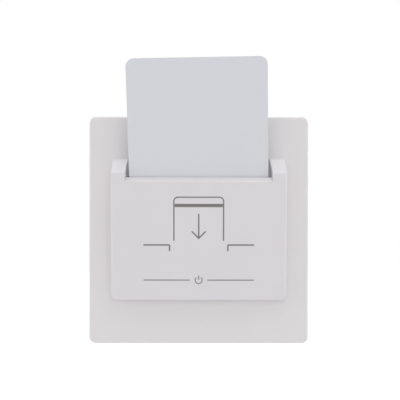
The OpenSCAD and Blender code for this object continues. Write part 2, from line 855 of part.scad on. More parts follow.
module microswitch_pins() {
    color([0.80, 0.76, 0.60])
        for (at = switch_leads)
            bar_y(at, lead_d, board_y, board_back_y + 0.8);
}

module circuit_board() {
    color([0.10, 0.38, 0.22])
        difference() {
            block([-board_w / 2, board_y, -board_h / 2], [board_w / 2, board_back_y, board_h / 2]);
            for (at = all_leads)
                bar_y(at, solder_hole_d, board_y - over, board_back_y + over);
            for (sx = [-1, 1])
                bar_y([sx * post_x, post_z], board_screw_d + 2 * screw_play,
                    board_y - over, board_back_y + over);
        }
}

module board_screws() {
    color([0.70, 0.70, 0.72])
        for (sx = [-1, 1])
            translate([sx * post_x, 0, post_z])
                pan_screw(board_screw_d, board_head_d, board_head_t, board_y, board_y + board_screw_l);
}

module power_relay() {
    color([0.10, 0.10, 0.12]) cased_part(relay_at, relay_size, relay_leads);
}

module dropper_capacitor() {
    color([0.78, 0.66, 0.22]) cased_part(dropper_at, dropper_size, dropper_leads);
}

// Can with a crimp near its foot and a cross score on its top
module smoothing_capacitor() {
    r = can_d / 2;
    profile = [
        [0, 0], [r - crimp_t, 0], [r, crimp_t], [r, crimp_y - crimp_t], [r - crimp_t, crimp_y],
        [r, crimp_y + crimp_t], [r, can_l - crimp_t], [r - crimp_t, can_l], [0, can_l]
    ];
    color([0.12, 0.16, 0.28]) {
        difference() {
            turned_part(can_at, profile);
            for (a = [0, 90])
                translate([can_at[0], board_back_y + can_l, can_at[1]]) rotate([0, a, 0])
                    cube([can_d * 0.6, 0.5, 0.4], center = true);
        }
        leads(can_leads);
    }
}

module varistor() {
    disc_y = board_back_y + varistor_d / 2 + 0.6;
    color([0.16, 0.30, 0.52]) {
        translate([varistor_at[0], disc_y, varistor_at[1]]) rotate([0, 90, 0])
            rotate_extrude()
                intersection() {
                    rounded_rect(varistor_d, varistor_t, varistor_edge_r);
                    translate([0, -varistor_t]) square([varistor_d, 2 * varistor_t]);
                }
        for (at = varistor_leads)
            bar_y(at, lead_d, lead_end_y, disc_y - 1);
    }
}

// Round fuse: a base plate with a cap over it
module fuse() {
    r = fuse_d / 2;
    base = 1.4;
    profile = [
        [0, 0], [r, 0], [r, base], [r - 0.3, base], [r - 0.3, fuse_l - case_bevel],
        [r - 0.3 - case_bevel, fuse_l], [0, fuse_l]
    ];
    color([0.14, 0.14, 0.15]) {
        turned_part(fuse_at, profile);
        leads(fuse_leads);
    }
}

module bridge_rectifier() {
    color([0.12, 0.12, 0.13]) dual_row_part(bridge_at, bridge_size, bridge_leads);
}

module timer_chip() {
    color([0.12, 0.12, 0.13]) dual_row_part(chip_at, chip_size, chip_leads);
}

module driver_transistor() {
    color([0.12, 0.12, 0.13]) {
        intersection() {
            bar_y(transistor_at, transistor_d, board_back_y, board_back_y + transistor_l);
            translate([transistor_at[0], board_back_y, transistor_at[1]])
                block([-transistor_d, 0, -transistor_flat], [transistor_d, transistor_l, transistor_d]);
        }
        leads(transistor_leads);
    }
}

// Axial resistor lying on the board: a waisted body between two wider ends
module inrush_resistor() {
    axis_y = board_back_y + resistor_d / 2;
    r = resistor_d / 2;
    waist = r - resistor_waist;
    half = resistor_l / 2;
    neck = half - resistor_cap_l;
    profile = [
        [0, -half], [waist, -half], [r, 2 * resistor_waist - half], [r, -neck],
        [waist, resistor_waist - neck], [waist, neck - resistor_waist],
        [r, neck], [r, half - 2 * resistor_waist], [waist, half], [0, half]
    ];
    color([0.62, 0.66, 0.60]) {
        turned_across([resistor_at[0], axis_y, resistor_at[1]], profile);
        bar_x([axis_y, resistor_at[1]], lead_d, resistor_leads[0][0], resistor_leads[1][0]);
        for (at = resistor_leads)
            bar_y(at, lead_d, lead_end_y, axis_y);
    }
}

module terminal_block() {
    cell_half = clamp_w / 2 + clamp_fit;
    cell_back_y = clamp_y + clamp_l + clamp_fit;
    color([0.30, 0.32, 0.34]) {
        difference() {
            block([-block_half, board_back_y, block_bottom], [block_half, block_back_y, block_top]);
            for (x = terminal_x) {
                block([x - cell_half, clamp_y - clamp_fit, block_bottom - over],
                    [x + cell_half, cell_back_y, clamp_bottom + clamp_h]);
                bar_y([x, clamp_mid_z], terminal_head_d + 0.4,
                    clamp_y + clamp_l - over, block_back_y + over);
            }
        }
        leads(block_leads);
    }
}

module terminal_clamps() {
    color([0.80, 0.66, 0.30])
        for (x = terminal_x)
            difference() {
                block([x - clamp_w / 2, clamp_y, clamp_bottom],
                    [x + clamp_w / 2, clamp_y + clamp_l, clamp_bottom + clamp_h]);
                translate([x, wire_y, clamp_bottom - over])
                    cylinder(d = wire_d, h = clamp_h + 2 * over);
                bar_y([x, clamp_mid_z], terminal_screw_d + 2 * thread_play,
                    wire_y, clamp_y + clamp_l + over);
            }
}

module terminal_screws() {
    tip_y = wire_y + wire_d / 2 + 0.3;
    head_y = clamp_y + clamp_l + 0.2;
    color([0.78, 0.77, 0.72])
        for (x = terminal_x)
            translate([x, 0, clamp_mid_z])
                difference() {
                    union() {
                        bar_y([0, 0], terminal_screw_d, tip_y, head_y + 0.1);
                        bar_y([0, 0], terminal_head_d, head_y, head_y + terminal_head_t);
                    }
                    translate([0, head_y + terminal_head_t, 0])
                        cube([terminal_head_d + over, terminal_head_t * 0.95, 0.9], center = true);
                }
}

front_plate();
card_pocket();
key_card();
card_guide();
pocket_screws();
mounting_frame();
rear_housing();
housing_screws();
actuator_lever();
lever_pin();
lever_spring();
microswitch_case();
microswitch_plunger();
microswitch_pins();
circuit_board();
board_screws();
power_relay();
dropper_capacitor();
smoothing_capacitor();
varistor();
fuse();
bridge_rectifier();
timer_chip();
driver_transistor();
inrush_resistor();
terminal_block();
terminal_clamps();
terminal_screws();
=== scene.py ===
"""Looks of a hotel key card switch, built around its packed solids.

The frame comes first, then the moulded front, the card, the printed marks, the fasteners,
the works behind the plate and the stage. All lengths are metres in the frame's own axes:
X to the right, Y into the wall, Z up.
"""
import json
from math import atan, atan2, cos, degrees, pi, radians, sin, tan

import bpy
import numpy as np
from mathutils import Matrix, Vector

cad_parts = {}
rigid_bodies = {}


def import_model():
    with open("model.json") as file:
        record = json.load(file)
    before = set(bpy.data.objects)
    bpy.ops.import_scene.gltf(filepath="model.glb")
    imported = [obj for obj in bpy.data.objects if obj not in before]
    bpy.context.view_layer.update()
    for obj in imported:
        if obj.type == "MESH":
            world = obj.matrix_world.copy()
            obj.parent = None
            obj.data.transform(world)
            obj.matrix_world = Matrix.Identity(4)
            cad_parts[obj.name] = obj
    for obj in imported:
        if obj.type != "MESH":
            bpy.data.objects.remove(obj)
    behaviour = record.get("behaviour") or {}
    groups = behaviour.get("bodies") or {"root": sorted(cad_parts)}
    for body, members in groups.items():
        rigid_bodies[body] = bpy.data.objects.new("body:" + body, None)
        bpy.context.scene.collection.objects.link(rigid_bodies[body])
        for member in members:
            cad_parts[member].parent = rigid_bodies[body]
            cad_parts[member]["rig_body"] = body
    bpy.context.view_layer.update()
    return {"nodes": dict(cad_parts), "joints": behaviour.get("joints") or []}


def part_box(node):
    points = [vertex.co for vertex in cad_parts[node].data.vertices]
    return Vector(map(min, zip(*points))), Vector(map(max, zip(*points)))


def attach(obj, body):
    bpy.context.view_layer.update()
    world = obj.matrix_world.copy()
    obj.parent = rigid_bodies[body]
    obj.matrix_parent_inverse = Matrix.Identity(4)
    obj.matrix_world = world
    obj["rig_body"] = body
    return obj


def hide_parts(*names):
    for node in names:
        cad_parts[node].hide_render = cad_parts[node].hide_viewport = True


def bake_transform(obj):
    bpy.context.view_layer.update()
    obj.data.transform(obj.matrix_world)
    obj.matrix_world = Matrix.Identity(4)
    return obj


bl_info = {
    "name": "Key card switch looks",
    "version": (1, 0, 0),
    "blender": (4, 5, 0),
    "location": "3D View > Sidebar > Key card switch",
    "description": "Dresses the solids of a hotel key card switch with surfaces, finishes and a stage",
    "category": "Object",
}

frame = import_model()
MM = 0.001
JOINTS = {joint["name"]: joint for joint in frame["joints"]}
SLIDE_AXIS = JOINTS["card_slide"]["axis"]
CARD_LEAN = degrees(atan2(-SLIDE_AXIS[1], SLIDE_AXIS[2]))
# (y, z) of the lever's pin
PIN_PLACE = JOINTS["lever_swing"]["pos_m"][1:]
FRAME_PIXELS = 400.0
# Distances within which points of a new surface or of a solid count as one
SAME_PLACE = 1e-7
SAME_CAD_PLACE = 2e-7


def length(value_mm, name, description):
    """Property for a length given in millimetres, kept in metres."""
    return bpy.props.FloatProperty(
        name=name, description=description, default=value_mm * MM, min=0.0, unit="LENGTH", precision=5
    )


def angle(turn_deg, name, description):
    """Property for an angle given in degrees, kept in radians."""
    return bpy.props.FloatProperty(
        name=name, description=description, default=radians(turn_deg), unit="ROTATION"
    )


def position(values_mm, name, description):
    """Property for a place given in millimetres, kept in metres."""
    return bpy.props.FloatVectorProperty(
        name=name, description=description, default=tuple(value * MM for value in values_mm),
        subtype="XYZ", unit="LENGTH",
    )


def share(value, name, description):
    """Property for a plain factor."""
    return bpy.props.FloatProperty(name=name, description=description, default=value, min=0.0)


def colour(rgb, name, description):
    """Property for a linear colour."""
    return bpy.props.FloatVectorProperty(
        name=name, description=description, default=rgb, size=3, min=0.0, max=1.0, subtype="COLOR"
    )


class PlateSizes(bpy.types.PropertyGroup):
    """Sizes of the front plate."""
    wall: length(2.2, "Wall", "Thickness of the face and the sides")
    corner: length(2.4, "Corner radius", "Corner radius seen from the front")
    inner_corner: length(1.6, "Inner corner radius", "Corner radius of the hollow behind the face")
    edge: length(0.7, "Edge radius", "Rounding of the front edge")
    soft: length(0.25, "Soft edge", "Rounding of the back rim")
    window_edge: length(0.1, "Window edge", "Bevel of the window's edge")
    window_low: length(23.0, "Window foot", "Distance of the window's lower edge below the middle")
    window_top: length(21.042, "Window head", "Distance of the window's upper edge above the middle")
    window_half: length(28.5, "Window half width", "Half the width of the window")
    window_corner: length(0.3, "Window corner radius", "Corner radius of the window")
    pry_half: length(5.0, "Pry slot half width", "Half the width of the slot in the lower rim")
    pry_depth: length(1.2, "Pry slot depth", "Depth of the slot in the lower rim")


class PocketSizes(bpy.types.PropertyGroup):
    """Sizes of the card pocket."""
    foot: length(3.7, "Foot", "How far the lower edge stands off the plate")
    lean: angle(5.5, "Lean", "Forward lean of the front face")
    arm_top: length(22.6, "Arm height", "Height of the arms' front edge")
    lip_top: length(18.9, "Lip height", "Height of the lip's front edge")
    arm_slope: angle(31.5, "Arm slope", "Backward slope of the arms' tops")
    lip_slope: angle(36.0, "Lip slope", "Backward slope of the lip's top")
    wall: length(2.7, "Front wall", "Thickness of the front wall")
    floor: length(2.2, "Floor", "Thickness of the floor")
    edge: length(0.7, "Edge radius", "Rounding of the outer edges")
    arm_edge: length(1.5, "Arm edge radius", "Rounding of the edge between the arms' fronts and tops")
    inner_edge: length(0.35, "Inner edge radius", "Rounding of the arms' edges beside the slot")
    draft: length(0.7, "Draft", "How much nearer the arms stand to each other at the plate than in front")
    draft_reach: length(3.0, "Draft reach", "How far from the slot's sides the draft runs out")
    soft: length(0.25, "Soft edge", "Rounding of the lip's back edge")
    corner: length(2.4, "Corner radius", "Radius of the lower corners")
    slot_half: length(28.5, "Slot half width", "Half the width of the slot between the arms")
    rib: length(1.4, "Rib", "Thickness of the ribs behind the front wall")
    near_rib: length(8.0, "Near ribs", "Distance of the inner pair of ribs from the middle")
    far_rib: length(22.0, "Far ribs", "Distance of the outer pair of ribs from the middle")
    play: length(0.3, "Play", "Room between the ribs and the card")


class CardSizes(bpy.types.PropertyGroup):
    """Sizes and stance of the key card."""
    width: length(53.98, "Width", "Width of the card")
    height: length(85.6, "Length", "Length of the card")
    thickness: length(0.76, "Thickness", "Thickness of the card")
    corner: length(3.18, "Corner radius", "Corner radius of the card")
    soft: length(0.09, "Soft edge", "Rounding of the punched edge")
    lean: angle(CARD_LEAN, "Lean", "Forward lean of the card in the slot")
    cant: angle(1.2, "Cant", "Turn of the loose card in its own plane")
    foot: position((0.807, -4.8, -17.8), "Foot", "Middle of the card's lower edge")


class MarkSizes(bpy.types.PropertyGroup):
    """Sizes of the printed marks."""
    stroke: length(0.5, "Stroke", "Width of the drawn lines")
    film: length(0.02, "Ink film", "How far the ink stands off the plastic")
    sign_half: length(21.4, "Sign half width", "Half the width of the drawing")
    card_half: length(9.6, "Card half width", "Half the width of the drawn card")
    card_top: length(12.9, "Card head", "Height of the drawn card's upper edge")
    slot_z: length(5.6, "Slot line", "Distance of the drawn slot below the middle")
    rule_z: length(19.3, "Rule line", "Distance of the lower row of marks below the middle")


class FinishColours(bpy.types.PropertyGroup):
    """Colours of the finishes, as linear values."""
    plate: colour((0.752, 0.729, 0.742), "Plate", "Moulded white of the plate")
    # The pocket's colour is the plate's moulded white made a few percent darker, which paints in the shade of
    # its forward-leaning front.
    pocket: colour((0.726, 0.706, 0.730), "Pocket", "Moulded white of the pocket")
    card: colour((0.702, 0.713, 0.757), "Card", "Cool white of the key card")
    ink: colour((0.185, 0.175, 0.168), "Ink", "Grey of the printed marks")
    guide: colour((0.49, 0.485, 0.48), "Guide", "Grey of the card guide")
    frame: colour((0.045, 0.047, 0.052), "Mounting frame", "Dark grey of the mounting frame")
    housing: colour((0.72, 0.72, 0.69), "Rear housing", "Pale plastic of the rear housing")
    steel: colour((0.62, 0.62, 0.64), "Steel", "Zinc plated steel")
    brass: colour((0.72, 0.52, 0.20), "Brass", "Brass of the clamps")


class StageSizes(bpy.types.PropertyGroup):
    """Camera and light of the stage."""
    camera_place: position((-0.68, -405.33, 12.14), "Camera place", "Where the camera stands")
    camera_turn: bpy.props.FloatVectorProperty(
        name="Camera turn", description="Small pitch, roll and yaw of the camera", subtype="EULER",
        default=(radians(-0.047), radians(-0.089), radians(-0.169)),
    )
    focal_pixels: share(1011.3, "Focal length", "Focal length in pixels of a frame 400 pixels wide")
    floor_drop: length(450.0, "Floor drop", "Distance of the floor below the middle of the plate")
    ambient: share(0.435, "Ambient", "Light from all round, as a share of white")
    walls: share(1.95, "Tent walls", "Light that the tent's walls add, as a share of white")
    front: share(0.70, "Tent front", "Light that the tent's front adds, as a share of white")
    top: share(0.095, "Top lamp", "Light of the lamp above, as a share of white")
    side: share(0.056, "Side lamps", "Light of each lamp beside, as a share of white")
    rear: share(0.10, "Rear lamps", "Light of each lamp behind the wall, as a share of white")


# Mesh helpers


def grid_faces(rows, columns, wrap_rows=False, wrap_columns=False):
    """Quads of a grid of points stored row by row, closed on itself where a wrap is asked for."""
    row, column = np.meshgrid(
        np.arange(rows if wrap_rows else rows - 1),
        np.arange(columns if wrap_columns else columns - 1), indexing="ij",
    )
    next_row = (row + 1) % rows * columns
    next_column = (column + 1) % columns
    here = row * columns
    quads = np.stack([here + column, next_row + column, next_row + next_column, here + next_column], -1)
    return quads.reshape(-1, 4)


def tube_faces(rows, columns):
    """Faces of a tube of rows of points: its wall, with its first and last row as flat ends."""
    last = (rows - 1) * columns
    ends = [list(range(columns)), list(range(last, last + columns))[::-1]]
    return grid_faces(rows, columns, wrap_columns=True).tolist() + ends


def merged(points, step):
    """Points without those that coincide within a step, and the new index of each old point."""
    keys = np.round(points / step).astype(np.int64)
    _, first, where = np.unique(keys, axis=0, return_index=True, return_inverse=True)
    return points[first], where.ravel()


def welded(points, quads):
    """Merges points that coincide and turns quads that lose a corner into triangles."""
    points, where = merged(points, SAME_PLACE)
    quads = where[quads]
    same = quads == np.roll(quads, -1, axis=1)
    lost = same.sum(axis=1)
    whole = (quads[:, 0] != quads[:, 2]) & (quads[:, 1] != quads[:, 3])
    three = whole & (lost == 1)
    triangles = quads[three][~same[three]].reshape(-1, 3)
    return points, quads[whole & (lost == 0)].tolist() + triangles.tolist()


def signed_volume(points, faces):
    """Six times the volume inside the faces, by the sum of the triple products of their fans."""
    total = 0.0
    for size in {len(face) for face in faces}:
        fan = points[np.array([face for face in faces if len(face) == size])]
        for k in range(1, size - 1):
            total += np.einsum("ij,ij->", fan[:, 0], np.cross(fan[:, k], fan[:, k + 1]))
    return total


def outward(points, faces):
    """Points and faces, with every face turned round where they enclose a negative volume."""
    return points, faces if signed_volume(points, faces) > 0 else [face[::-1] for face in faces]


def placed(name, points, faces, finish):
    """Smooth object of points and faces with a finish, linked into the scene."""
    mesh = bpy.data.meshes.new(name)
    mesh.from_pydata(points.tolist(), [], faces)
    mesh.shade_smooth()
    mesh.materials.append(finish)
    made = bpy.data.objects.new(name, mesh)
    bpy.context.scene.collection.objects.link(made)
    return made


def piece(name, points, faces, finish, body, slot, crease=35.0):
    """Makes an outward facing object from points and faces, which rides on a body where one is named."""
    made = placed(name, *outward(points, faces), finish)
    made.data.set_sharp_from_angle(angle=radians(crease))
    made.modifiers.new("Flat faces first", "WEIGHTED_NORMAL").keep_sharp = True
    if body:
        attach(made, body)
    return made


def joined(parts):
    """Joins several pairs of points and faces into one pair."""
    starts = np.cumsum([0] + [len(points) for points, _ in parts])
    faces = [[corner + start for corner in face] for (_, own), start in zip(parts, starts) for face in own]
    return np.concatenate([points for points, _ in parts]), faces


def prism(outline, low, high):
    """Closed prism: an outline in (y, z) carried straight along X from low to high."""
    ends = [np.column_stack([np.full(len(outline), x), outline]) for x in (low, high)]
    return outward(np.concatenate(ends), tube_faces(2, len(outline)))


def rounded_loop(half_w, low, high, corner, arc_steps=9, stops=()):
    """Rounded rectangle in (x, z), anticlockwise from the right of the lower edge.

    Straight stretches carry the same fractions on every loop, and the lower edge also has a doubled
    point at each stop, so loops of different size match point by point.
    """
    turn = np.linspace(0, pi / 2, arc_steps)
    across, up = half_w - corner, np.array([low + corner, high - corner])
    corners = [
        np.column_stack([cx + corner * np.cos(turn + start), cz + corner * np.sin(turn + start)])
        for cx, cz, start in (
            (across, up[0], -pi / 2), (across, up[1], 0), (-across, up[1], pi / 2), (-across, up[0], pi)
        )
    ]
    fractions = np.array([0.25, 0.5, 0.75])[:, None]

    def between(first, last):
        return first + (last - first) * fractions

    reach = 0.6 * across
    lower_x = np.concatenate([[-reach], np.repeat(stops, 2), [reach]])
    lower = np.column_stack([lower_x, np.full(len(lower_x), low)])
    return np.concatenate([
        corners[0], between(corners[0][-1], corners[1][0]),
        corners[1], between(corners[1][-1], corners[2][0]),
        corners[2], between(corners[2][-1], corners[3][0]),
        corners[3], lower,
    ])


def arc(centre, radius, start, end, steps):
    """Points of a circle's arc in a plane, from one angle to another."""
    turn = np.linspace(start, end, steps)
    return np.asarray(centre) + radius * np.column_stack([np.cos(turn), np.sin(turn)])


def line(first, last, steps, both=True):
    """Evenly spaced points of a straight line, with or without its first point."""
    run = np.linspace(0, 1, steps if both else steps + 1)[0 if both else 1:, None]
    return np.asarray(first) + (np.asarray(last) - np.asarray(first)) * run


# Shader groups and finishes


def new_group(name, **inputs):
    """Shader node group with these inputs and defaults, which puts out Colour, Roughness and Height."""
    group = bpy.data.node_groups.new(name, "ShaderNodeTree")
    number, shade = "NodeSocketFloat", "NodeSocketColor"
    for title, default in inputs.items():
        kind = number if isinstance(default, float) else shade
        group.interface.new_socket(name=title, in_out="INPUT", socket_type=kind).default_value = default
    for title, kind in (("Colour", shade), ("Roughness", number), ("Height", number)):
        group.interface.new_socket(name=title, in_out="OUTPUT", socket_type=kind)
    return group, group.nodes.new("NodeGroupInput").outputs, group.nodes.new("NodeGroupOutput").inputs


def feed(tree, socket, term):
    """Gives a socket a number, or links another socket to it."""
    if isinstance(term, (int, float)):
        socket.default_value = term
    else:
        tree.links.new(term, socket)


def noise(tree, vector, scale, detail=2.0, rough=0.5):
    """Noise texture on a vector; scale is a number or a socket."""
    node = tree.nodes.new("ShaderNodeTexNoise")
    for title, term in (("Vector", vector), ("Scale", scale), ("Detail", detail), ("Roughness", rough)):
        feed(tree, node.inputs[title], term)
    return node.outputs["Fac"]


def maths(tree, operation, *terms):
    """Math node whose terms are numbers or sockets."""
    node = tree.nodes.new("ShaderNodeMath")
    node.operation = operation
    for socket, term in zip(node.inputs, terms):
        feed(tree, socket, term)
    return node.outputs[0]


def spread(tree, value, low, high):
    """Maps a value from 0 to 1 onto low to high, which are numbers or sockets."""
    node = tree.nodes.new("ShaderNodeMapRange")
    for title, term in (("Value", value), ("To Min", low), ("To Max", high)):
        feed(tree, node.inputs[title], term)
    return node.outputs["Result"]


def tinted(tree, base, factor):
    """Colour times a factor."""
    node = tree.nodes.new("ShaderNodeVectorMath")
    node.operation = "SCALE"
    tree.links.new(base, node.inputs[0])
    tree.links.new(factor, node.inputs["Scale"])
    return node.outputs["Vector"]


def object_place(tree, stretch=None, turn=(0.0, 0.0, 0.0)):
    """Object coordinates, stretched along the axes and then turned where asked."""
    place = tree.nodes.new("ShaderNodeTexCoord").outputs["Object"]
    if stretch is None:
        return place
    mapping = tree.nodes.new("ShaderNodeMapping")
    mapping.inputs["Scale"].default_value = stretch
    mapping.inputs["Rotation"].default_value = turn
    tree.links.new(place, mapping.inputs["Vector"])
    return mapping.outputs["Vector"]


def put_out(group, given, out, shade, wear, swing, height):
    """Ends an effect: the colour times a shade, the roughness give or take half a swing, and the height."""
    group.links.new(tinted(group, given["Colour"], shade), out["Colour"])
    gloss = maths(group, "MULTIPLY_ADD", wear, swing, -swing / 2)
    group.links.new(maths(group, "ADD", given["Roughness"], gloss), out["Roughness"])
    group.links.new(height, out["Height"])
    return group


def mould_group():
    """Moulded plastic: spark eroded grain, faint cloudiness of the colour and worn gloss."""
    if "Moulded grain" in bpy.data.node_groups:
        return bpy.data.node_groups["Moulded grain"]
    group, given, out = new_group(
        "Moulded grain", Colour=(0.8, 0.8, 0.8, 1.0), Grain=9000.0, Cloud=0.03, Roughness=0.45
    )
    place = object_place(group)
    fine = noise(group, place, given["Grain"], 3.0, 0.6)
    cloud = noise(group, place, 55.0, 4.0, 0.55)
    smear = noise(group, place, 210.0, 3.0, 0.6)
    low, high = (maths(group, step, 1.0, given["Cloud"]) for step in ("SUBTRACT", "ADD"))
    return put_out(group, given, out, spread(group, cloud, low, high), smear, 0.16, fine)


def metal_group():
    """Drawn or turned metal: fine scratches along Y, spots in the plating and worn gloss."""
    if "Plated metal" in bpy.data.node_groups:
        return bpy.data.node_groups["Plated metal"]
    group, given, out = new_group("Plated metal", Colour=(0.7, 0.7, 0.7, 1.0), Roughness=0.3)
    scratch = noise(group, object_place(group, (4000.0, 250.0, 4000.0)), 1.0, 3.0, 0.6)
    spot = noise(group, object_place(group), 700.0, 4.0, 0.6)
    return put_out(group, given, out, spread(group, spot, 0.86, 1.1), spot, 0.24, scratch)


def finish_name(name):
    """Name of a finish, kept apart from the materials that come with the solids."""
    return f"{name}_finish"


def new_finish(name):
    """Material with an output and a Principled shader, and its node tree."""
    finish = bpy.data.materials.new(finish_name(name))
    finish.use_nodes = True
    return finish, finish.node_tree, finish.node_tree.nodes["Principled BSDF"]


def grouped(tree, group, **values):
    """Places a node group in a material and sets the inputs that are named."""
    node = tree.nodes.new("ShaderNodeGroup")
    node.node_tree = group
    for title, value in values.items():
        node.inputs[title].default_value = value
    return node


def bumped(tree, shader, height, depth):
    """Feeds a height through a Bump node to the shader's normal; depth is in metres."""
    bump = tree.nodes.new("ShaderNodeBump")
    bump.inputs["Strength"].default_value = 1.0
    bump.inputs["Distance"].default_value = depth
    tree.links.new(height, bump.inputs["Height"])
    tree.links.new(bump.outputs["Normal"], shader.inputs["Normal"])


def coated(tree, shader, effect, depth):
    """Feeds the colour, roughness and height of an effect to a shader; depth is in metres."""
    tree.links.new(effect.outputs["Colour"], shader.inputs["Base Color"])
    tree.links.new(effect.outputs["Roughness"], shader.inputs["Roughness"])
    bumped(tree, shader, effect.outputs["Height"], depth)


def plastic(name, rgb, rough=0.45, grain=9000.0, depth=0.004 * MM, cloud=0.02, ior=1.5):
    """Moulded plastic finish, made once for each name; depth is the grain's height in metres."""
    if finish_name(name) in bpy.data.materials:
        return bpy.data.materials[finish_name(name)]
    finish, tree, shader = new_finish(name)
    mould = grouped(tree, mould_group(), Colour=(*rgb, 1.0), Grain=grain, Cloud=cloud, Roughness=rough)
    shader.inputs["IOR"].default_value = ior
    coated(tree, shader, mould, depth)
    return finish


def metal(name, rgb, rough=0.32, depth=0.002 * MM):
    """Plated or turned metal finish, made once for each name; depth is the scratches' height in metres."""
    if finish_name(name) in bpy.data.materials:
        return bpy.data.materials[finish_name(name)]
    finish, tree, shader = new_finish(name)
    plated = grouped(tree, metal_group(), Colour=(*rgb, 1.0), Roughness=rough)
    shader.inputs["Metallic"].default_value = 1.0
    coated(tree, shader, plated, depth)
    return finish


def softened(node, finish, width):
    """Merged copy of a CAD node with its sharp edges softened, which stands for the node."""
    solid = frame["nodes"][node].data
    points = np.empty(len(solid.vertices) * 3)
    solid.vertices.foreach_get("co", points)
    corners = np.empty(len(solid.loops), np.int64)
    solid.loops.foreach_get("vertex_index", corners)
    points, where = merged(points.reshape(-1, 3), SAME_CAD_PLACE)
    faces = where[corners].reshape(-1, 3)
    whole = (faces != np.roll(faces, 1, axis=1)).all(axis=1)
    made = placed(f"soft_{node}", points, faces[whole].tolist(), finish)
    flat = made.modifiers.new("Flat faces", "DECIMATE")
    flat.decimate_type = "DISSOLVE"
    flat.angle_limit = radians(1.0)
    bevel = made.modifiers.new("Soft edges", "BEVEL")
    bevel.width = width
    bevel.segments = 2
    bevel.limit_method = "ANGLE"
    bevel.angle_limit = radians(40.0)
    made.modifiers.new("Flat faces first", "WEIGHTED_NORMAL").keep_sharp = True
    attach(made, frame["nodes"][node]["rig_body"])
    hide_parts(node)


# Front plate


def plate_surface(sizes, low, high):
    """Surface of the plate: loop(u) at row(v), closed both ways.

    Rows run from the window over the face, round the front edge by a quarter circle, down the side,
    over the back rim, up the hollow and back to the window. A row is a rounded rectangle at one depth.
    """
    half_w, foot, head = high[0], low[2], high[2]
    face, rim = low[1], high[1]
    inside = face + sizes.wall
    stops = (-sizes.pry_half, sizes.pry_half)

    def outer(inset):
        return rounded_loop(half_w - inset, foot + inset, head - inset, sizes.corner - inset, stops=stops)

    def hollow(inset):
        return rounded_loop(
            half_w - sizes.wall - inset, foot + sizes.wall + inset, head - sizes.wall - inset,
            sizes.inner_corner - inset, stops=stops,
        )

    def window(grow):
        return rounded_loop(
            sizes.window_half + grow, -sizes.window_low - grow, sizes.window_top + grow,
            sizes.window_corner + grow, stops=stops,
        )

    rows = [(window(0), face + sizes.window_edge), (window(sizes.window_edge), face)]
    start, end = window(sizes.window_edge), outer(sizes.edge)
    rows += [(start + (end - start) * t, face) for t in (0.33, 0.67)]
    rows += [
        (outer(sizes.edge * (1 - sin(a))), face + sizes.edge * (1 - cos(a)))
        for a in np.linspace(0, pi / 2, 11)
    ]
    wall_rows = len(rows)
    rows += [(outer(0), rim - sizes.pry_depth), (outer(0), rim - sizes.soft)]
    rows += [(outer(sizes.soft * (1 - sin(a))), rim - sizes.soft * (1 - cos(a))) for a in (pi / 4, 0)]
    rows += [(hollow(-sizes.soft), rim), (hollow(0), rim - sizes.soft), (hollow(0), rim - sizes.pry_depth)]
    wall_end = len(rows)
    rows += [(hollow(0), inside + sizes.soft), (hollow(sizes.soft), inside)]
    start, end = hollow(sizes.soft), window(0)
    rows += [(start + (end - start) * t, inside) for t in (0.5, 1.0)]

    loops = np.stack([loop for loop, _ in rows])
    depth = np.repeat(np.array([y for _, y in rows])[:, None], loops.shape[1], axis=1)
    # The pry slot lies between the inner points of the two doubled stops.
    in_slot = np.zeros(loops.shape[1], bool)
    in_slot[[-4, -3]] = True
    rim_rows = np.zeros(len(rows), bool)
    rim_rows[wall_rows:wall_end] = True
    cut = rim_rows[:, None] & in_slot[None, :]
    depth = np.where(cut, np.minimum(depth, rim - sizes.pry_depth), depth)
    points = np.stack([loops[..., 0], depth, loops[..., 1]], -1).reshape(-1, 3)
    return welded(points, grid_faces(len(rows), loops.shape[1], True, True))


def hook_surfaces(sizes, low, high):
    """Four snap hooks: the hook's side view carried along X, turned over for the lower pair."""
    root, thick, half, reach = high[2] - 5.2 * MM, 1.4 * MM, 4.5 * MM, 22.0 * MM
    start, barb = low[1] + sizes.wall - 0.3 * MM, root - 0.9 * MM
    # Y of the catch, of the barb's blunt end and of the tip
    catch, blunt, tip = -1.1 * MM, -0.9 * MM, -0.3 * MM
    outline = np.array([
        (start, root), (catch, root), (catch, barb), (blunt, barb), (tip, root), (tip, root + thick),
        (start, root + thick),
    ])
    return [
        prism(outline * (1, side), place - half, place + half)
        for side in (1, -1) for place in (-reach, reach)
    ]


class KEYCARD_OT_plate(bpy.types.Operator):
    """Make the front plate with its window, rim and snap hooks"""
    bl_idname = "keycard.plate"
    bl_label = "Front plate"

    def execute(self, context):
        sizes, colours = context.scene.keycard_plate, context.scene.keycard_colours
        low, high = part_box("front_plate")
        finish = plastic("plate_white", colours.plate, rough=0.42, cloud=0.012)
        points, faces = joined([plate_surface(sizes, low, high), *hook_surfaces(sizes, low, high)])
        made = piece("moulded_plate", points, faces, finish, "switch", "plate_white")
        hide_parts("front_plate")
        return {"FINISHED"}


# Card pocket


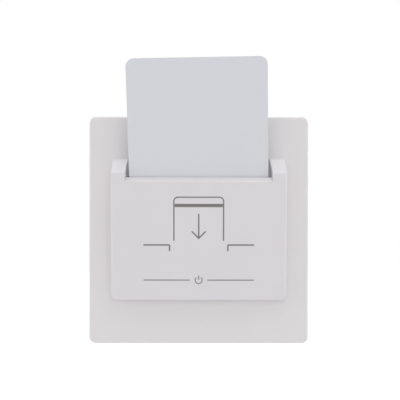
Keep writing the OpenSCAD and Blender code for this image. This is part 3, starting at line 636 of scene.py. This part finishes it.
class PocketForm:
    """Side view of the pocket in (p, z), where p counts forwards from the plate's face."""

    def __init__(self, sizes):
        low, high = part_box("card_pocket")
        self.sizes, self.bottom, self.half_w = sizes, low[2], high[0]
        self.face_normal = np.array([cos(sizes.lean), -sin(sizes.lean)])
        self.wall_run = sizes.wall / cos(sizes.lean)
        self.floor = self.bottom + sizes.floor

    def front(self, z):
        """Depth of the front face at a height."""
        return self.sizes.foot + (z - self.bottom) * tan(self.sizes.lean)

    def inside(self, z):
        """Depth of the front wall's inner face at a height."""
        return self.front(z) - self.wall_run

    def into_corner(self, x):
        """How far x is into a rounded lower corner."""
        return np.clip(abs(x) - (self.half_w - self.sizes.corner), 0, self.sizes.corner)

    def lower(self, x):
        """Height of the lower edge at x, which rises round the lower corners."""
        corner = self.sizes.corner
        return self.bottom + corner - np.sqrt(corner ** 2 - self.into_corner(x) ** 2)

    def crest(self, top, slope, radius):
        """Middle of the rounded edge between the front face and a top that slopes back."""
        corner = np.array([self.front(top), top])
        top_normal = np.array([sin(slope), cos(slope)])
        return corner - radius * (self.face_normal + top_normal) / (1 + self.face_normal @ top_normal)

    def lip_foot(self):
        """Point of the front face where the lip's rounded edge begins."""
        sizes = self.sizes
        return self.crest(sizes.lip_top, sizes.lip_slope, sizes.edge) + sizes.edge * self.face_normal


def front_y(depth):
    """Y of a place from its distance in front of the plate's face, and the other way round."""
    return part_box("front_plate")[0][1] - depth


def rib_line(form, card):
    """Places of a rib's back in (p, z) beside the card's front face, from its head to its foot."""
    drop, slant, past = 5.0 * MM, 2.0 * MM, 0.6 * MM
    clear = card.thickness / (2 * cos(card.lean)) + form.sizes.play
    _, foot_y, foot_z = card.foot

    def beside(z):
        return front_y(foot_y - (z - foot_z) * tan(card.lean) - clear)

    head, foot = form.sizes.lip_top - drop, foot_z - past
    return np.array([
        (form.inside(head + slant), head + slant), (beside(head), head), (beside(foot), foot),
        (form.inside(foot), foot),
    ])


def lip_chain(form, inner):
    """Outline from the lip's front edge over the lip and down the inner face's points to the plate."""
    sizes = form.sizes
    crest = form.crest(sizes.lip_top, sizes.lip_slope, sizes.edge)
    run = form.wall_run / (1 + tan(sizes.lip_slope) * tan(sizes.lean))
    back = np.array([form.front(sizes.lip_top) - run, sizes.lip_top + run * tan(sizes.lip_slope)])
    along = np.array([cos(sizes.lip_slope), -sin(sizes.lip_slope)])
    down = np.array([-sin(sizes.lean), -cos(sizes.lean)])
    soft = [back + sizes.soft * along, back + 0.3 * sizes.soft * (along + down), back + sizes.soft * down]
    front_edge = arc(crest, sizes.edge, -sizes.lean, pi / 2 - sizes.lip_slope, 8)
    floor_corner = np.array([form.inside(form.floor), form.floor])
    return np.concatenate([
        front_edge, line(front_edge[-1], soft[0], 2, both=False), soft[1:], inner,
        [floor_corner], line(floor_corner, (0.0, form.floor), 2, both=False),
    ])


def arm_chain(form, x, outer, inner, count):
    """Outline of an arm at x, from the lip's height up its front, over its top and down the plate.

    Every point moves in along its own normal by the insets of the outer edge and of the slot's edge, which
    is how the arm's long edges are rounded. The slot's inset runs out where the front meets the lip. The
    outline ends at the floor's height, or a little above the lower edge where that is higher.
    """
    sizes = form.sizes
    run_out = 0.5 * MM
    crest = form.crest(sizes.arm_top, sizes.arm_slope, sizes.arm_edge)
    lip = form.lip_foot()
    edge = arc(crest, sizes.arm_edge, -sizes.lean, pi / 2 - sizes.arm_slope, 7)
    edge_normals = (edge - crest) / sizes.arm_edge
    front = np.stack([lip + (edge[0] - lip) * t for t in (0.05, 0.15, 0.5)])
    end_z = sizes.arm_top + form.front(sizes.arm_top) * tan(sizes.arm_slope)
    top = line(edge[-1], (0.0, end_z), 3, both=False)[:-1]
    points = np.concatenate([front, edge, top])
    normals = np.concatenate([
        np.repeat(form.face_normal[None], len(front), axis=0), edge_normals,
        np.repeat(edge_normals[-1:], len(top), axis=0),
    ])
    fade = np.clip((points[:, 1] - lip[1]) / run_out, 0, 1)[:, None]
    points = points - normals * (outer + inner * fade)
    end = max(form.floor, form.lower(x) + sizes.soft)
    return np.concatenate([points, line((0.0, end_z), (0.0, end), count - len(points))])


def edge_inset(distance, radius):
    """Inset of a rounded edge at a distance inside it: r - sqrt(r^2 - (r - d)^2), and 0 past r."""
    left = np.clip(radius - distance, 0, radius)
    return radius - np.sqrt(radius ** 2 - left ** 2)


def pocket_column(form, x, chain):
    """One cross-section of the pocket at x: bottom, rounded lower edge, front face, then the given chain."""
    sizes, low, corner_x = form.sizes, form.lower(x), form.into_corner(x)
    roll = sizes.edge + 0.6 * (low - form.bottom)
    lip_start = form.lip_foot()[1]
    heights = np.concatenate([
        low + roll * (1 - np.cos(np.linspace(0, pi / 2, 7))),
        line((low + roll,), (lip_start,), 6, both=False)[:, 0],
    ])
    corner_z = np.clip(form.bottom + sizes.corner - heights, 0, sizes.corner)
    inward = np.where(
        (corner_x > 0) & (corner_z > 0), sizes.corner - np.hypot(corner_x, corner_z),
        np.minimum(form.half_w - abs(x), heights - form.bottom),
    )
    depth = form.front(heights) - edge_inset(np.clip(inward, 0, None), sizes.edge) / cos(sizes.lean)
    under = line((0.0, low), (depth[0], low), 3)[:-1]
    return np.concatenate([under, np.column_stack([depth, heights]), chain])


def pocket_surface(sizes, card):
    """Surface of the pocket: a side view in (p, z) carried along X and changed on the way.

    Between the arms the side view is the front wall with its lip, in the arms it is the whole wedge, and
    at a rib the inner face steps back to the card. Where it changes at once, two columns share one x and
    the strip between them is the flat face there. The two ends are closed by flat faces. Near the slot's
    sides x also moves in by the draft times the share of the depth that is left to the plate.
    """
    form = PocketForm(sizes)
    half_w, slot = form.half_w, sizes.slot_half
    rib = rib_line(form, card)
    ribbed = lip_chain(form, rib)
    plain = lip_chain(form, np.column_stack([form.inside(rib[:, 1]), rib[:, 1]]))
    outer = half_w - sizes.corner + sizes.corner * np.sin(np.linspace(0, pi / 2, 13))
    inner = slot + sizes.inner_edge * (1 - np.cos(np.linspace(0, pi / 2, 8)))
    arm_x = np.concatenate([inner, outer])
    insets = zip(edge_inset(half_w - arm_x, sizes.edge), edge_inset(arm_x - slot, sizes.inner_edge))
    right = [(0.0, plain)]
    for place in (sizes.near_rib, sizes.far_rib):
        near, far = place - sizes.rib / 2, place + sizes.rib / 2
        right += [(near, plain), (near, ribbed), (far, ribbed), (far, plain)]
    right += [(slot, plain)]
    right += [(x, arm_chain(form, x, *inset, len(plain))) for x, inset in zip(arm_x, insets)]
    stations = [(-x, chain) for x, chain in right[:0:-1]] + right
    profile = np.stack([pocket_column(form, x, chain) for x, chain in stations])
    rows, count = profile.shape[:2]
    x = np.repeat(np.array([x for x, _ in stations])[:, None], count, axis=1)
    left = 1 - np.clip(profile[..., 0] / form.front(profile[..., 1]), 0, 1)
    near = np.clip(1 - np.abs(np.abs(x) - slot) / sizes.draft_reach, 0, 1)
    x = x - np.sign(x) * sizes.draft * left * near
    points = np.stack([x, front_y(profile[..., 0]), profile[..., 1]], -1)
    points, faces = welded(points.reshape(-1, 3), grid_faces(rows, count, wrap_columns=True))
    return points, faces + end_caps(points, (-half_w, half_w))


def end_caps(points, places):
    """Flat faces that close the pocket's two sides, each in the order of the angle round its middle."""
    caps = []
    for place in places:
        here = np.flatnonzero(np.abs(points[:, 0] - place) < SAME_PLACE)
        middle = points[here].mean(axis=0)
        order = np.argsort(np.arctan2(points[here, 2] - middle[2], points[here, 1] - middle[1]))
        caps.append(here[order if place > 0 else order[::-1]].tolist())
    return caps


class KEYCARD_OT_pocket(bpy.types.Operator):
    """Make the card pocket with its lip, arms and inner ribs"""
    bl_idname = "keycard.pocket"
    bl_label = "Card pocket"

    def execute(self, context):
        scene, rgb = context.scene, context.scene.keycard_colours.pocket
        # The pocket's finish is the plate's moulded white made a few percent darker: painted shade for the
        # lesser light on its forward-leaning front.
        finish = plastic("pocket_white", rgb, rough=0.37, depth=0.001 * MM, cloud=0.012)
        points, faces = pocket_surface(scene.keycard_pocket, scene.keycard_card)
        made = piece("moulded_pocket", points, faces, finish, "switch", "pocket_white")
        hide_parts("card_pocket")
        return {"FINISHED"}


# Key card


def card_place(card, flat):
    """Carries points (across, thickness, up the card) to the card's stance in the slot."""
    turn, tip = card.cant, card.lean
    x = flat[:, 0] * cos(turn) - flat[:, 2] * sin(turn)
    up = flat[:, 0] * sin(turn) + flat[:, 2] * cos(turn)
    y = flat[:, 1] * cos(tip) - up * sin(tip)
    z = flat[:, 1] * sin(tip) + up * cos(tip)
    return np.column_stack([x, y, z]) + np.array(card.foot)


def card_surface(card):
    """Surface of the card: a rounded rectangle carried through the thickness, with rounded rims."""
    half = card.thickness / 2
    bend = np.linspace(0, pi / 2, 4)
    rim = [(card.soft * (1 - sin(a)), -half + card.soft * (1 - cos(a))) for a in bend]
    rows = rim + [(inset, -y) for inset, y in rim[::-1]]
    loops = [
        rounded_loop(card.width / 2 - inset, inset, card.height - inset, card.corner - inset, arc_steps=17)
        for inset, _ in rows
    ]
    count = len(loops[0])
    flat = np.concatenate([
        np.column_stack([loop[:, 0], np.full(count, y), loop[:, 1]]) for loop, (_, y) in zip(loops, rows)
    ])
    return card_place(card, flat), tube_faces(len(rows), count)


class KEYCARD_OT_card(bpy.types.Operator):
    """Make the key card that stands in the pocket"""
    bl_idname = "keycard.card"
    bl_label = "Key card"

    def execute(self, context):
        rgb = context.scene.keycard_colours.card
        finish = plastic("card_white", rgb, rough=0.36, grain=2600.0, depth=0.002 * MM, cloud=0.010, ior=1.46)
        points, faces = card_surface(context.scene.keycard_card)
        made = piece("plain_card", points, faces, finish, "key_card", "card_white")
        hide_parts("key_card")
        return {"FINISHED"}


# Printed marks


def ribbon(path, width, film, on_face):
    """Flat ribbon along an open path in (x, z): a low arch across the path, carried along it.

    The path's normal at a point is the mean of its neighbours' normals, lengthened at a bend so that the
    ribbon keeps its width.
    """
    path = np.asarray(path, float)
    step = np.diff(path, axis=0)
    normal = np.column_stack([-step[:, 1], step[:, 0]]) / np.linalg.norm(step, axis=1)[:, None]
    after = np.concatenate([normal, normal[-1:]])
    mean = np.concatenate([normal[:1], normal]) + after
    mean /= np.maximum((mean * after).sum(axis=1), 0.5)[:, None]
    across = np.array([-0.5, -0.46, 0.46, 0.5]) * width
    lift = np.array([-0.2, 1.0, 1.0, -0.2]) * film
    flat = path[:, None, :] + mean[:, None, :] * across[None, :, None]
    points = on_face(flat[..., 0], flat[..., 1], np.broadcast_to(lift, flat.shape[:2])).reshape(-1, 3)
    return points, tube_faces(len(path), len(across))


def sign_paths(marks):
    """Drawn lines of the sign: a card with a stripe and an arrow going down into a slot, over a row of two
    rules and a power mark. Each is a list of (x, z) points and its width in strokes."""
    half, top, slot, reach = marks.card_half, marks.card_top, -marks.slot_z, marks.sign_half
    corner, foot = 1.6 * MM, slot + 1.6 * MM
    mouth, flank = half + 1.7 * MM, slot - 2.4 * MM
    stripe, stripe_half = top - 3.2 * MM, half - 0.3 * MM
    tail, tip, barb = top - 6.4 * MM, slot + 2.6 * MM, 2.7 * MM
    rule, rule_start, ring, opening = -marks.rule_z, 3.4 * MM, 1.35 * MM, 0.75
    stem_low, stem_top = rule + 0.1 * MM, rule + 1.7 * MM
    sides = (-1, 1)
    card = np.concatenate([
        [(-half, foot)], arc((-half + corner, top - corner), corner, pi, pi / 2, 9),
        arc((half - corner, top - corner), corner, pi / 2, 0, 9), [(half, foot)],
    ])
    return [
        (card, 1.0),
        *(([(side * mouth, slot), (side * reach, slot)], 1.15) for side in sides),
        *(([(side * mouth, slot), (side * mouth, flank)], 1.15) for side in sides),
        ([(-stripe_half, stripe), (stripe_half, stripe)], 2.6),
        ([(0.0, tail), (0.0, tip)], 1.1),
        ([(-barb, tip + barb), (0.0, tip), (barb, tip + barb)], 1.1),
        *(([(side * rule_start, rule), (side * reach, rule)], 0.8) for side in sides),
        (arc((0.0, rule), ring, pi / 2 + opening, 5 * pi / 2 - opening, 25), 0.8),
        ([(0.0, stem_low), (0.0, stem_top)], 0.8),
    ]


class KEYCARD_OT_marks(bpy.types.Operator):
    """Print the plain sign and the row of marks on the pocket's front"""
    bl_idname = "keycard.marks"
    bl_label = "Printed marks"

    def execute(self, context):
        scene, marks = context.scene, context.scene.keycard_marks
        form = PocketForm(scene.keycard_pocket)

        def on_face(x, z, lift):
            return np.stack([x, front_y(form.front(z) + lift), z], -1)

        strokes = [ribbon(path, marks.stroke * wide, marks.film, on_face) for path, wide in sign_paths(marks)]
        finish = plastic("sign_ink", scene.keycard_colours.ink, rough=0.55, grain=14000.0, cloud=0.06)
        piece("printed_sign", *joined(strokes), finish, "switch", "pocket_white")
        return {"FINISHED"}


# Fasteners and spring


def screw_surface(place, drive, seat, tip, shank, head, tall, sides=72):
    """Screw along Y: a profile turned about its axis, with a drive pressed into the head and a thread.

    Over the head the height falls by a dome, tall * (1 - 0.38 (r / R)^2.2), less the drive's depth. On the
    shank the radius is r0 - depth * |saw(turns + h / pitch)|, which makes the helix, and it narrows at the
    tip. The other sizes are shares of the head and the shank.
    """
    out = 1.0 if seat > tip else -1.0
    blur, half_arm, arm_end, half_slot = 0.05 * head, 0.13 * head, 0.58 * head, 0.16 * head
    pitch, depth, taper, long = 0.42 * shank, 0.13 * shank, 0.35 * shank, abs(tip - seat)
    turn = np.arange(sides) * 2 * pi / sides
    dome_r = np.linspace(0, 1, 26)[:, None] * head * np.ones(sides)
    dome_h = tall * (1 - 0.38 * (dome_r / head) ** 2.2)
    across, along = np.abs(dome_r * np.cos(turn)), np.abs(dome_r * np.sin(turn))

    def inside(distance, limit):
        return np.clip((limit - distance) / blur + 0.5, 0, 1)

    if drive == "cross":
        mask = inside(np.minimum(across, along), half_arm) * inside(np.maximum(across, along), arm_end)
        dome_h = dome_h - mask * 0.55 * tall * (1 - dome_r / (0.9 * head))
    else:
        dome_h = dome_h - inside(across, half_slot) * 0.5 * tall
    rim_r = np.array([1.0, 0.985, 0.94, 0.72])[:, None] * head * np.ones(sides)
    rim_h = np.array([0.5, 0.1, 0.0, 0.0])[:, None] * tall * np.ones(sides)
    h = np.linspace(0.0, long, max(int(long / pitch * 7), 12))[:, None] * np.ones(sides)
    saw = np.abs(np.mod(turn / (2 * pi) + h / pitch, 1.0) * 2 - 1)
    fade = np.clip((h - 0.6 * pitch) / pitch, 0, 1) * np.clip((long - h) / pitch, 0, 1)
    shank_r = shank - depth * saw * fade - taper * np.clip(1 - (long - h) / pitch, 0, 1)
    radius = np.concatenate([dome_r, rim_r, shank_r, np.zeros((1, sides))])
    height = np.concatenate([dome_h, rim_h, -h, np.full((1, sides), -long)])
    points = np.stack([
        place[0] + radius * np.cos(turn), seat + out * height, place[1] + radius * np.sin(turn)
    ], -1)
    return outward(*welded(points.reshape(-1, 3), grid_faces(len(radius), sides, wrap_columns=True)))


# Places in (x, z), sizes and drive of each set of screws, in millimetres
SCREWS = {
    "pocket_screws": (
        [(x, z) for x in (-31.25, 31.25) for z in (-17.0, 20.0)],
        dict(seat=-4.6, tip=-11.0, shank=1.1, head=1.9, tall=1.5), "cross",
    ),
    "housing_screws": (
        [(x, z) for x in (-19.0, 19.0) for z in (-28.7, 28.7)],
        dict(seat=2.0, tip=-3.7, shank=1.3, head=2.6, tall=1.8), "cross",
    ),
    "board_screws": (
        [(x, 20.2) for x in (-19.0, 19.0)],
        dict(seat=14.2, tip=21.2, shank=1.1, head=2.1, tall=1.7), "cross",
    ),
    "terminal_screws": (
        [(x, -19.45) for x in (-15.0, -5.0, 5.0, 15.0)],
        dict(seat=25.8, tip=22.5, shank=1.7, head=2.9, tall=1.9), "slot",
    ),
}


class KEYCARD_OT_screws(bpy.types.Operator):
    """Make the screws with domed heads, pressed drives and threads"""
    bl_idname = "keycard.screws"
    bl_label = "Screws"

    def execute(self, context):
        finish = metal("screw_steel", context.scene.keycard_colours.steel)
        for node, (places, sizes_mm, drive) in SCREWS.items():
            sizes = {name: value * MM for name, value in sizes_mm.items()}
            parts = [screw_surface(np.array(place) * MM, drive, **sizes) for place in places]
            made = piece(f"threaded_{node}", *joined(parts), finish, "switch", "screw_steel", crease=50.0)
            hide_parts(node)
        return {"FINISHED"}


def tube_surface(path, radius, sides=12):
    """Closed tube along a path: a circle carried along it, square to the path's heading."""
    ahead = np.gradient(path, axis=0)
    ahead /= np.linalg.norm(ahead, axis=1)[:, None]
    side = np.cross(ahead, np.array([1.0, 0.0, 0.0]))
    side /= np.linalg.norm(side, axis=1)[:, None]
    up = np.cross(ahead, side)
    turn = np.arange(sides) * 2 * pi / sides
    ring = path[:, None, :] + radius * (
        np.cos(turn)[None, :, None] * side[:, None, :] + np.sin(turn)[None, :, None] * up[:, None, :]
    )
    return ring.reshape(-1, 3), tube_faces(len(path), sides)


def spring_path():
    """Torsion spring round the lever's pin: a leg down the blade, five turns of a helix and a leg to the
    frame, each leg leaving the helix along its tangent."""
    pin_y, pin_z = PIN_PLACE
    coil, wire, turns, start, pitch = 1.65 * MM, 0.25 * MM, 5, 3.15 * MM, 0.58 * MM
    blade, blade_play, blade_reach = 1.7 * MM, 0.15 * MM, 4.8 * MM
    seat, seat_play = 0.4 * MM, 0.05 * MM
    leg = np.array([blade + wire + blade_play, blade_reach])
    first = np.arccos(coil / np.hypot(*leg)) - np.arctan2(leg[1], leg[0])
    last = pi / 3 + 2 * pi * turns
    run = np.linspace(0, 1, 40 * turns)
    turn = first + (last - first) * run
    helix = np.column_stack([
        start + pitch * turns * run, pin_y + coil * np.cos(turn), pin_z + coil * np.sin(turn)
    ])
    reach = (helix[-1, 1] + seat - wire - seat_play) / sin(last)
    blade_leg = line((start, pin_y + leg[0], pin_z - leg[1]), helix[0], 8)[:-1]
    frame_end = helix[-1] + reach * np.array([0.0, -sin(last), cos(last)])
    return np.concatenate([blade_leg, helix, line(helix[-1], frame_end, 5, both=False)]), wire


class KEYCARD_OT_spring(bpy.types.Operator):
    """Wind the lever's torsion spring, one end on the lever and one on the frame"""
    bl_idname = "keycard.spring"
    bl_label = "Lever spring"

    def execute(self, context):
        path, wire = spring_path()
        finish = metal("spring_steel", (0.55, 0.55, 0.57), rough=0.25)
        made = piece("wound_spring", *tube_surface(path, wire), finish, None, "spring_steel")
        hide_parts("lever_spring")
        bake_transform(made)
        return {"FINISHED"}


# Works behind the plate


def board_finish():
    """Circuit board: solder mask over raised copper tracks, with a cloudy gloss."""
    finish, tree, shader = new_finish("board_green")
    brick = tree.nodes.new("ShaderNodeTexBrick")
    place = object_place(tree, (420.0, 420.0, 420.0), (pi / 2, 0.0, 0.0))
    tree.links.new(place, brick.inputs["Vector"])
    for title, value in (
        ("Color1", (0.008, 0.115, 0.040, 1.0)), ("Color2", (0.010, 0.150, 0.052, 1.0)),
        ("Mortar", (0.006, 0.080, 0.030, 1.0)), ("Mortar Size", 0.12), ("Brick Width", 2.6),
        ("Row Height", 0.9),
    ):
        brick.inputs[title].default_value = value
    tree.links.new(brick.outputs["Color"], shader.inputs["Base Color"])
    cloud = noise(tree, object_place(tree), 300.0, 3.0)
    tree.links.new(spread(tree, cloud, 0.24, 0.40), shader.inputs["Roughness"])
    bumped(tree, shader, brick.outputs["Fac"], 0.02 * MM)
    return finish


def striped_finish(name, body, stripe, middle, half, rough):
    """Finish with one stripe across: the stripe's colour where |x - middle| < half."""
    finish, tree, shader = new_finish(name)
    split = tree.nodes.new("ShaderNodeSeparateXYZ")
    tree.links.new(object_place(tree), split.inputs["Vector"])
    away = maths(tree, "ABSOLUTE", maths(tree, "SUBTRACT", split.outputs["X"], middle))
    mix = tree.nodes.new("ShaderNodeMix")
    mix.data_type = "RGBA"
    tree.links.new(maths(tree, "LESS_THAN", away, half), mix.inputs["Factor"])
    # The Mix node's colours A and B are inputs 6 and 7, and their mix is output 2.
    mix.inputs[6].default_value = (*body, 1.0)
    mix.inputs[7].default_value = (*stripe, 1.0)
    mould = grouped(tree, mould_group(), Grain=6000.0, Cloud=0.05, Roughness=rough)
    tree.links.new(mix.outputs[2], mould.inputs["Colour"])
    coated(tree, shader, mould, 0.004 * MM)
    return finish


class KEYCARD_OT_rear(bpy.types.Operator):
    """Finish the mounting frame, the card guide and the rear housing"""
    bl_idname = "keycard.rear"
    bl_label = "Frame and housing"

    def execute(self, context):
        colours = context.scene.keycard_colours
        softened("mounting_frame", plastic("frame_dark", colours.frame, rough=0.5, cloud=0.08), 0.2 * MM)
        softened("rear_housing", plastic("housing_pale", colours.housing, rough=0.42, cloud=0.03), 0.25 * MM)
        softened("card_guide", plastic("guide_grey", colours.guide, rough=0.5, cloud=0.04), 0.15 * MM)
        return {"FINISHED"}


class KEYCARD_OT_works(bpy.types.Operator):
    """Finish the lever, the microswitch, the board and what stands on it"""
    bl_idname = "keycard.works"
    bl_label = "Works"

    def execute(self, context):
        cream = plastic("lever_cream", (0.82, 0.80, 0.70), rough=0.38, cloud=0.03)
        softened("actuator_lever", cream, 0.12 * MM)
        black = plastic("part_black", (0.012, 0.012, 0.014), rough=0.35, cloud=0.2)
        finishes = {
            "microswitch_case": plastic("switch_black", (0.022, 0.022, 0.025), rough=0.5, cloud=0.15),
            "microswitch_plunger": plastic("plunger_red", (0.50, 0.03, 0.02), rough=0.3, cloud=0.05),
            "microswitch_pins": metal("pin_tin", (0.66, 0.62, 0.50), rough=0.3),
            "lever_pin": metal("screw_steel", context.scene.keycard_colours.steel),
            "circuit_board": board_finish(),
            "power_relay": black, "fuse": black, "bridge_rectifier": black, "timer_chip": black,
            "driver_transistor": black,
            "dropper_capacitor": plastic("dropper_yellow", (0.56, 0.39, 0.04), rough=0.3, cloud=0.06),
            "smoothing_capacitor": striped_finish(
                "can_sleeve", (0.012, 0.020, 0.060), (0.55, 0.56, 0.60), 19.5 * MM, 1.2 * MM, rough=0.28
            ),
            "varistor": plastic(
                "varistor_blue", (0.020, 0.072, 0.230), rough=0.32, cloud=0.1, grain=3000.0
            ),
            "inrush_resistor": striped_finish(
                "resistor_body", (0.34, 0.40, 0.33), (0.14, 0.05, 0.02), 7.8 * MM, 0.5 * MM, rough=0.5
            ),
        }
        for node, finish in finishes.items():
            frame["nodes"][node].material_slots[0].material = finish
        return {"FINISHED"}


class KEYCARD_OT_terminals(bpy.types.Operator):
    """Finish the terminal block and its brass clamps"""
    bl_idname = "keycard.terminals"
    bl_label = "Terminals"

    def execute(self, context):
        grey = plastic("block_grey", (0.075, 0.085, 0.095), rough=0.45, cloud=0.08)
        brass = metal("clamp_brass", context.scene.keycard_colours.brass, rough=0.3)
        softened("terminal_block", grey, 0.12 * MM)
        softened("terminal_clamps", brass, 0.12 * MM)
        return {"FINISHED"}


# Stage


def soft_lamp(name, place, target, size, level):
    """Square white area lamp; level is the brightness it gives a white card that faces it.

    A lamp of power P at distance d gives P / (pi d^2), and a white card looks as bright as that over pi.
    """
    data = bpy.data.lights.new(name, "AREA")
    away = np.array(target) - np.array(place)
    data.energy = level * pi ** 2 * float(away @ away)
    data.size = size
    lamp = bpy.data.objects.new(name, data)
    bpy.context.scene.collection.objects.link(lamp)
    lamp.location = place
    flat = float(np.hypot(away[0], away[1]))
    lamp.rotation_euler = (pi / 2 + np.arctan2(away[2], flat), 0.0, np.arctan2(-away[0], away[1]))


def white_for_sight(tree):
    """Socket that is 1 for rays that show the background: camera, glossy and transmission rays."""
    path = tree.nodes.new("ShaderNodeLightPath").outputs
    shown = maths(tree, "MAXIMUM", path["Is Camera Ray"], path["Is Glossy Ray"])
    return maths(tree, "MAXIMUM", shown, path["Is Transmission Ray"])


def ramp(tree, value, first, last):
    """Smooth step of a value, from 0 at first to 1 at last."""
    node = tree.nodes.new("ShaderNodeMapRange")
    node.interpolation_type = "SMOOTHSTEP"
    for title, term in (("Value", value), ("From Min", first), ("From Max", last)):
        feed(tree, node.inputs[title], term)
    return node.outputs["Result"]


def set_world(level, walls, front):
    """World that shows white and lights like a tent whose walls beside the object are its brightest part.

    With c the cosine of the angle between a direction and the way the plate faces, the light is
    level + walls * ring(c) + front * cap(c). The ring rises while c falls from 0.42 to 0.05 and ends
    behind the plate at -0.12, and the cap rises from 0.5 to 0.95.
    """
    world = bpy.data.worlds.new("Soft tent")
    world.use_nodes = True
    tree = world.node_tree
    tree.nodes.clear()
    light, white = tree.nodes.new("ShaderNodeBackground"), tree.nodes.new("ShaderNodeBackground")
    light.inputs["Color"].default_value = white.inputs["Color"].default_value = (1.0, 1.0, 1.0, 1.0)
    way = tree.nodes.new("ShaderNodeSeparateXYZ")
    tree.links.new(tree.nodes.new("ShaderNodeTexCoord").outputs["Generated"], way.inputs[0])
    depth = way.outputs["Y"]
    ring = maths(tree, "MULTIPLY", ramp(tree, depth, -0.42, -0.05), ramp(tree, depth, 0.12, 0.0))
    cap = ramp(tree, depth, -0.5, -0.95)
    lit = maths(tree, "MULTIPLY_ADD", cap, front, maths(tree, "MULTIPLY_ADD", ring, walls, level))
    tree.links.new(lit, light.inputs["Strength"])
    mix, out = tree.nodes.new("ShaderNodeMixShader"), tree.nodes.new("ShaderNodeOutputWorld")
    tree.links.new(white_for_sight(tree), mix.inputs["Fac"])
    tree.links.new(light.outputs[0], mix.inputs[1])
    tree.links.new(white.outputs[0], mix.inputs[2])
    tree.links.new(mix.outputs[0], out.inputs["Surface"])
    bpy.context.scene.world = world


def floor_finish():
    """Pale floor that shows white where nothing shades it and keeps the object's shadow."""
    finish, tree, shader = new_finish("pale_floor")
    shader.inputs["Roughness"].default_value = 0.9
    cloud = noise(tree, object_place(tree), 3.0, 3.0)
    base = tree.nodes.new("ShaderNodeRGB")
    base.outputs[0].default_value = (0.82, 0.82, 0.82, 1.0)
    shade = spread(tree, cloud, 0.98, 1.02)
    tree.links.new(tinted(tree, base.outputs[0], shade), shader.inputs["Base Color"])
    glow = tree.nodes.new("ShaderNodeEmission")
    tree.links.new(maths(tree, "MULTIPLY", white_for_sight(tree), 0.45), glow.inputs["Strength"])
    both = tree.nodes.new("ShaderNodeAddShader")
    tree.links.new(shader.outputs[0], both.inputs[0])
    tree.links.new(glow.outputs[0], both.inputs[1])
    tree.links.new(both.outputs[0], tree.nodes["Material Output"].inputs["Surface"])
    return finish


def add_floor(drop):
    """Round floor: rings of points r(u) at one height."""
    radius, rings, sides = 6.0, 13, 64
    turn = np.arange(sides) * 2 * pi / sides
    reach = np.linspace(0.0, radius, rings)[:, None] * np.ones(sides)
    points = np.stack([reach * np.cos(turn), reach * np.sin(turn), np.full(reach.shape, -drop)], -1)
    points, faces = welded(points.reshape(-1, 3), grid_faces(rings, sides, wrap_columns=True))
    placed("floor", points, faces, floor_finish())


class KEYCARD_OT_stage(bpy.types.Operator):
    """Set the floor, the soft lamps, the white surroundings and the camera"""
    bl_idname = "keycard.stage"
    bl_label = "Stage"

    def execute(self, context):
        scene, stage = context.scene, context.scene.keycard_stage
        scene.view_settings.view_transform = "Standard"
        set_world(stage.ambient, stage.walls, stage.front)
        add_floor(stage.floor_drop)
        sides, face, back = ((-1, "left"), (1, "right")), (0.0, -0.008, 0.01), (0.0, 0.03, 0.0)
        soft_lamp("top_lamp", (0.17, -0.38, 0.75), face, 0.24, stage.top)
        for side, name in sides:
            soft_lamp(f"{name}_lamp", (side * 0.78, -0.35, 0.10), face, 0.20, stage.side)
        for side, name in sides:
            soft_lamp(f"rear_{name}_lamp", (side * 0.7, 0.8, 0.5), back, 0.6, stage.rear)
        data = bpy.data.cameras.new("camera")
        data.sensor_fit = "HORIZONTAL"
        data.angle = 2 * atan(FRAME_PIXELS / 2 / stage.focal_pixels)
        data.clip_start = 0.01
        camera = bpy.data.objects.new("camera", data)
        scene.collection.objects.link(camera)
        camera.location = stage.camera_place
        pitch, roll, yaw = stage.camera_turn
        camera.rotation_euler = (pi / 2 + pitch, roll, yaw)
        scene.camera = camera
        return {"FINISHED"}


OPERATORS = (
    KEYCARD_OT_stage, KEYCARD_OT_plate, KEYCARD_OT_pocket, KEYCARD_OT_card, KEYCARD_OT_marks,
    KEYCARD_OT_screws, KEYCARD_OT_spring, KEYCARD_OT_rear, KEYCARD_OT_works, KEYCARD_OT_terminals,
)
GROUPS = {
    "keycard_plate": PlateSizes, "keycard_pocket": PocketSizes, "keycard_card": CardSizes,
    "keycard_marks": MarkSizes, "keycard_colours": FinishColours, "keycard_stage": StageSizes,
}


class KEYCARD_PT_panel(bpy.types.Panel):
    """Sidebar panel with the sizes, the colours and the steps"""
    bl_idname = "KEYCARD_PT_panel"
    bl_label = "Key card switch"
    bl_space_type = "VIEW_3D"
    bl_region_type = "UI"
    bl_category = "Key card switch"

    def draw(self, context):
        for name, kind in GROUPS.items():
            box = self.layout.box()
            box.label(text=kind.__doc__)
            for title in kind.__annotations__:
                box.prop(getattr(context.scene, name), title)
        for step in OPERATORS:
            self.layout.operator(step.bl_idname)


def register():
    """Registers the classes and gives the scene each group of sizes and colours."""
    for kind in (*GROUPS.values(), *OPERATORS, KEYCARD_PT_panel):
        bpy.utils.register_class(kind)
    for name, kind in GROUPS.items():
        setattr(bpy.types.Scene, name, bpy.props.PointerProperty(type=kind))


def unregister():
    """Takes the groups off the scene and unregisters the classes."""
    for name in GROUPS:
        delattr(bpy.types.Scene, name)
    for kind in (KEYCARD_PT_panel, *reversed(OPERATORS), *reversed(tuple(GROUPS.values()))):
        bpy.utils.unregister_class(kind)


def main():
    """Registers the add-on and runs its operators in order."""
    register()
    for step in OPERATORS:
        area, name = step.bl_idname.split(".")
        getattr(getattr(bpy.ops, area), name)()


if __name__ == "__main__":
    main()
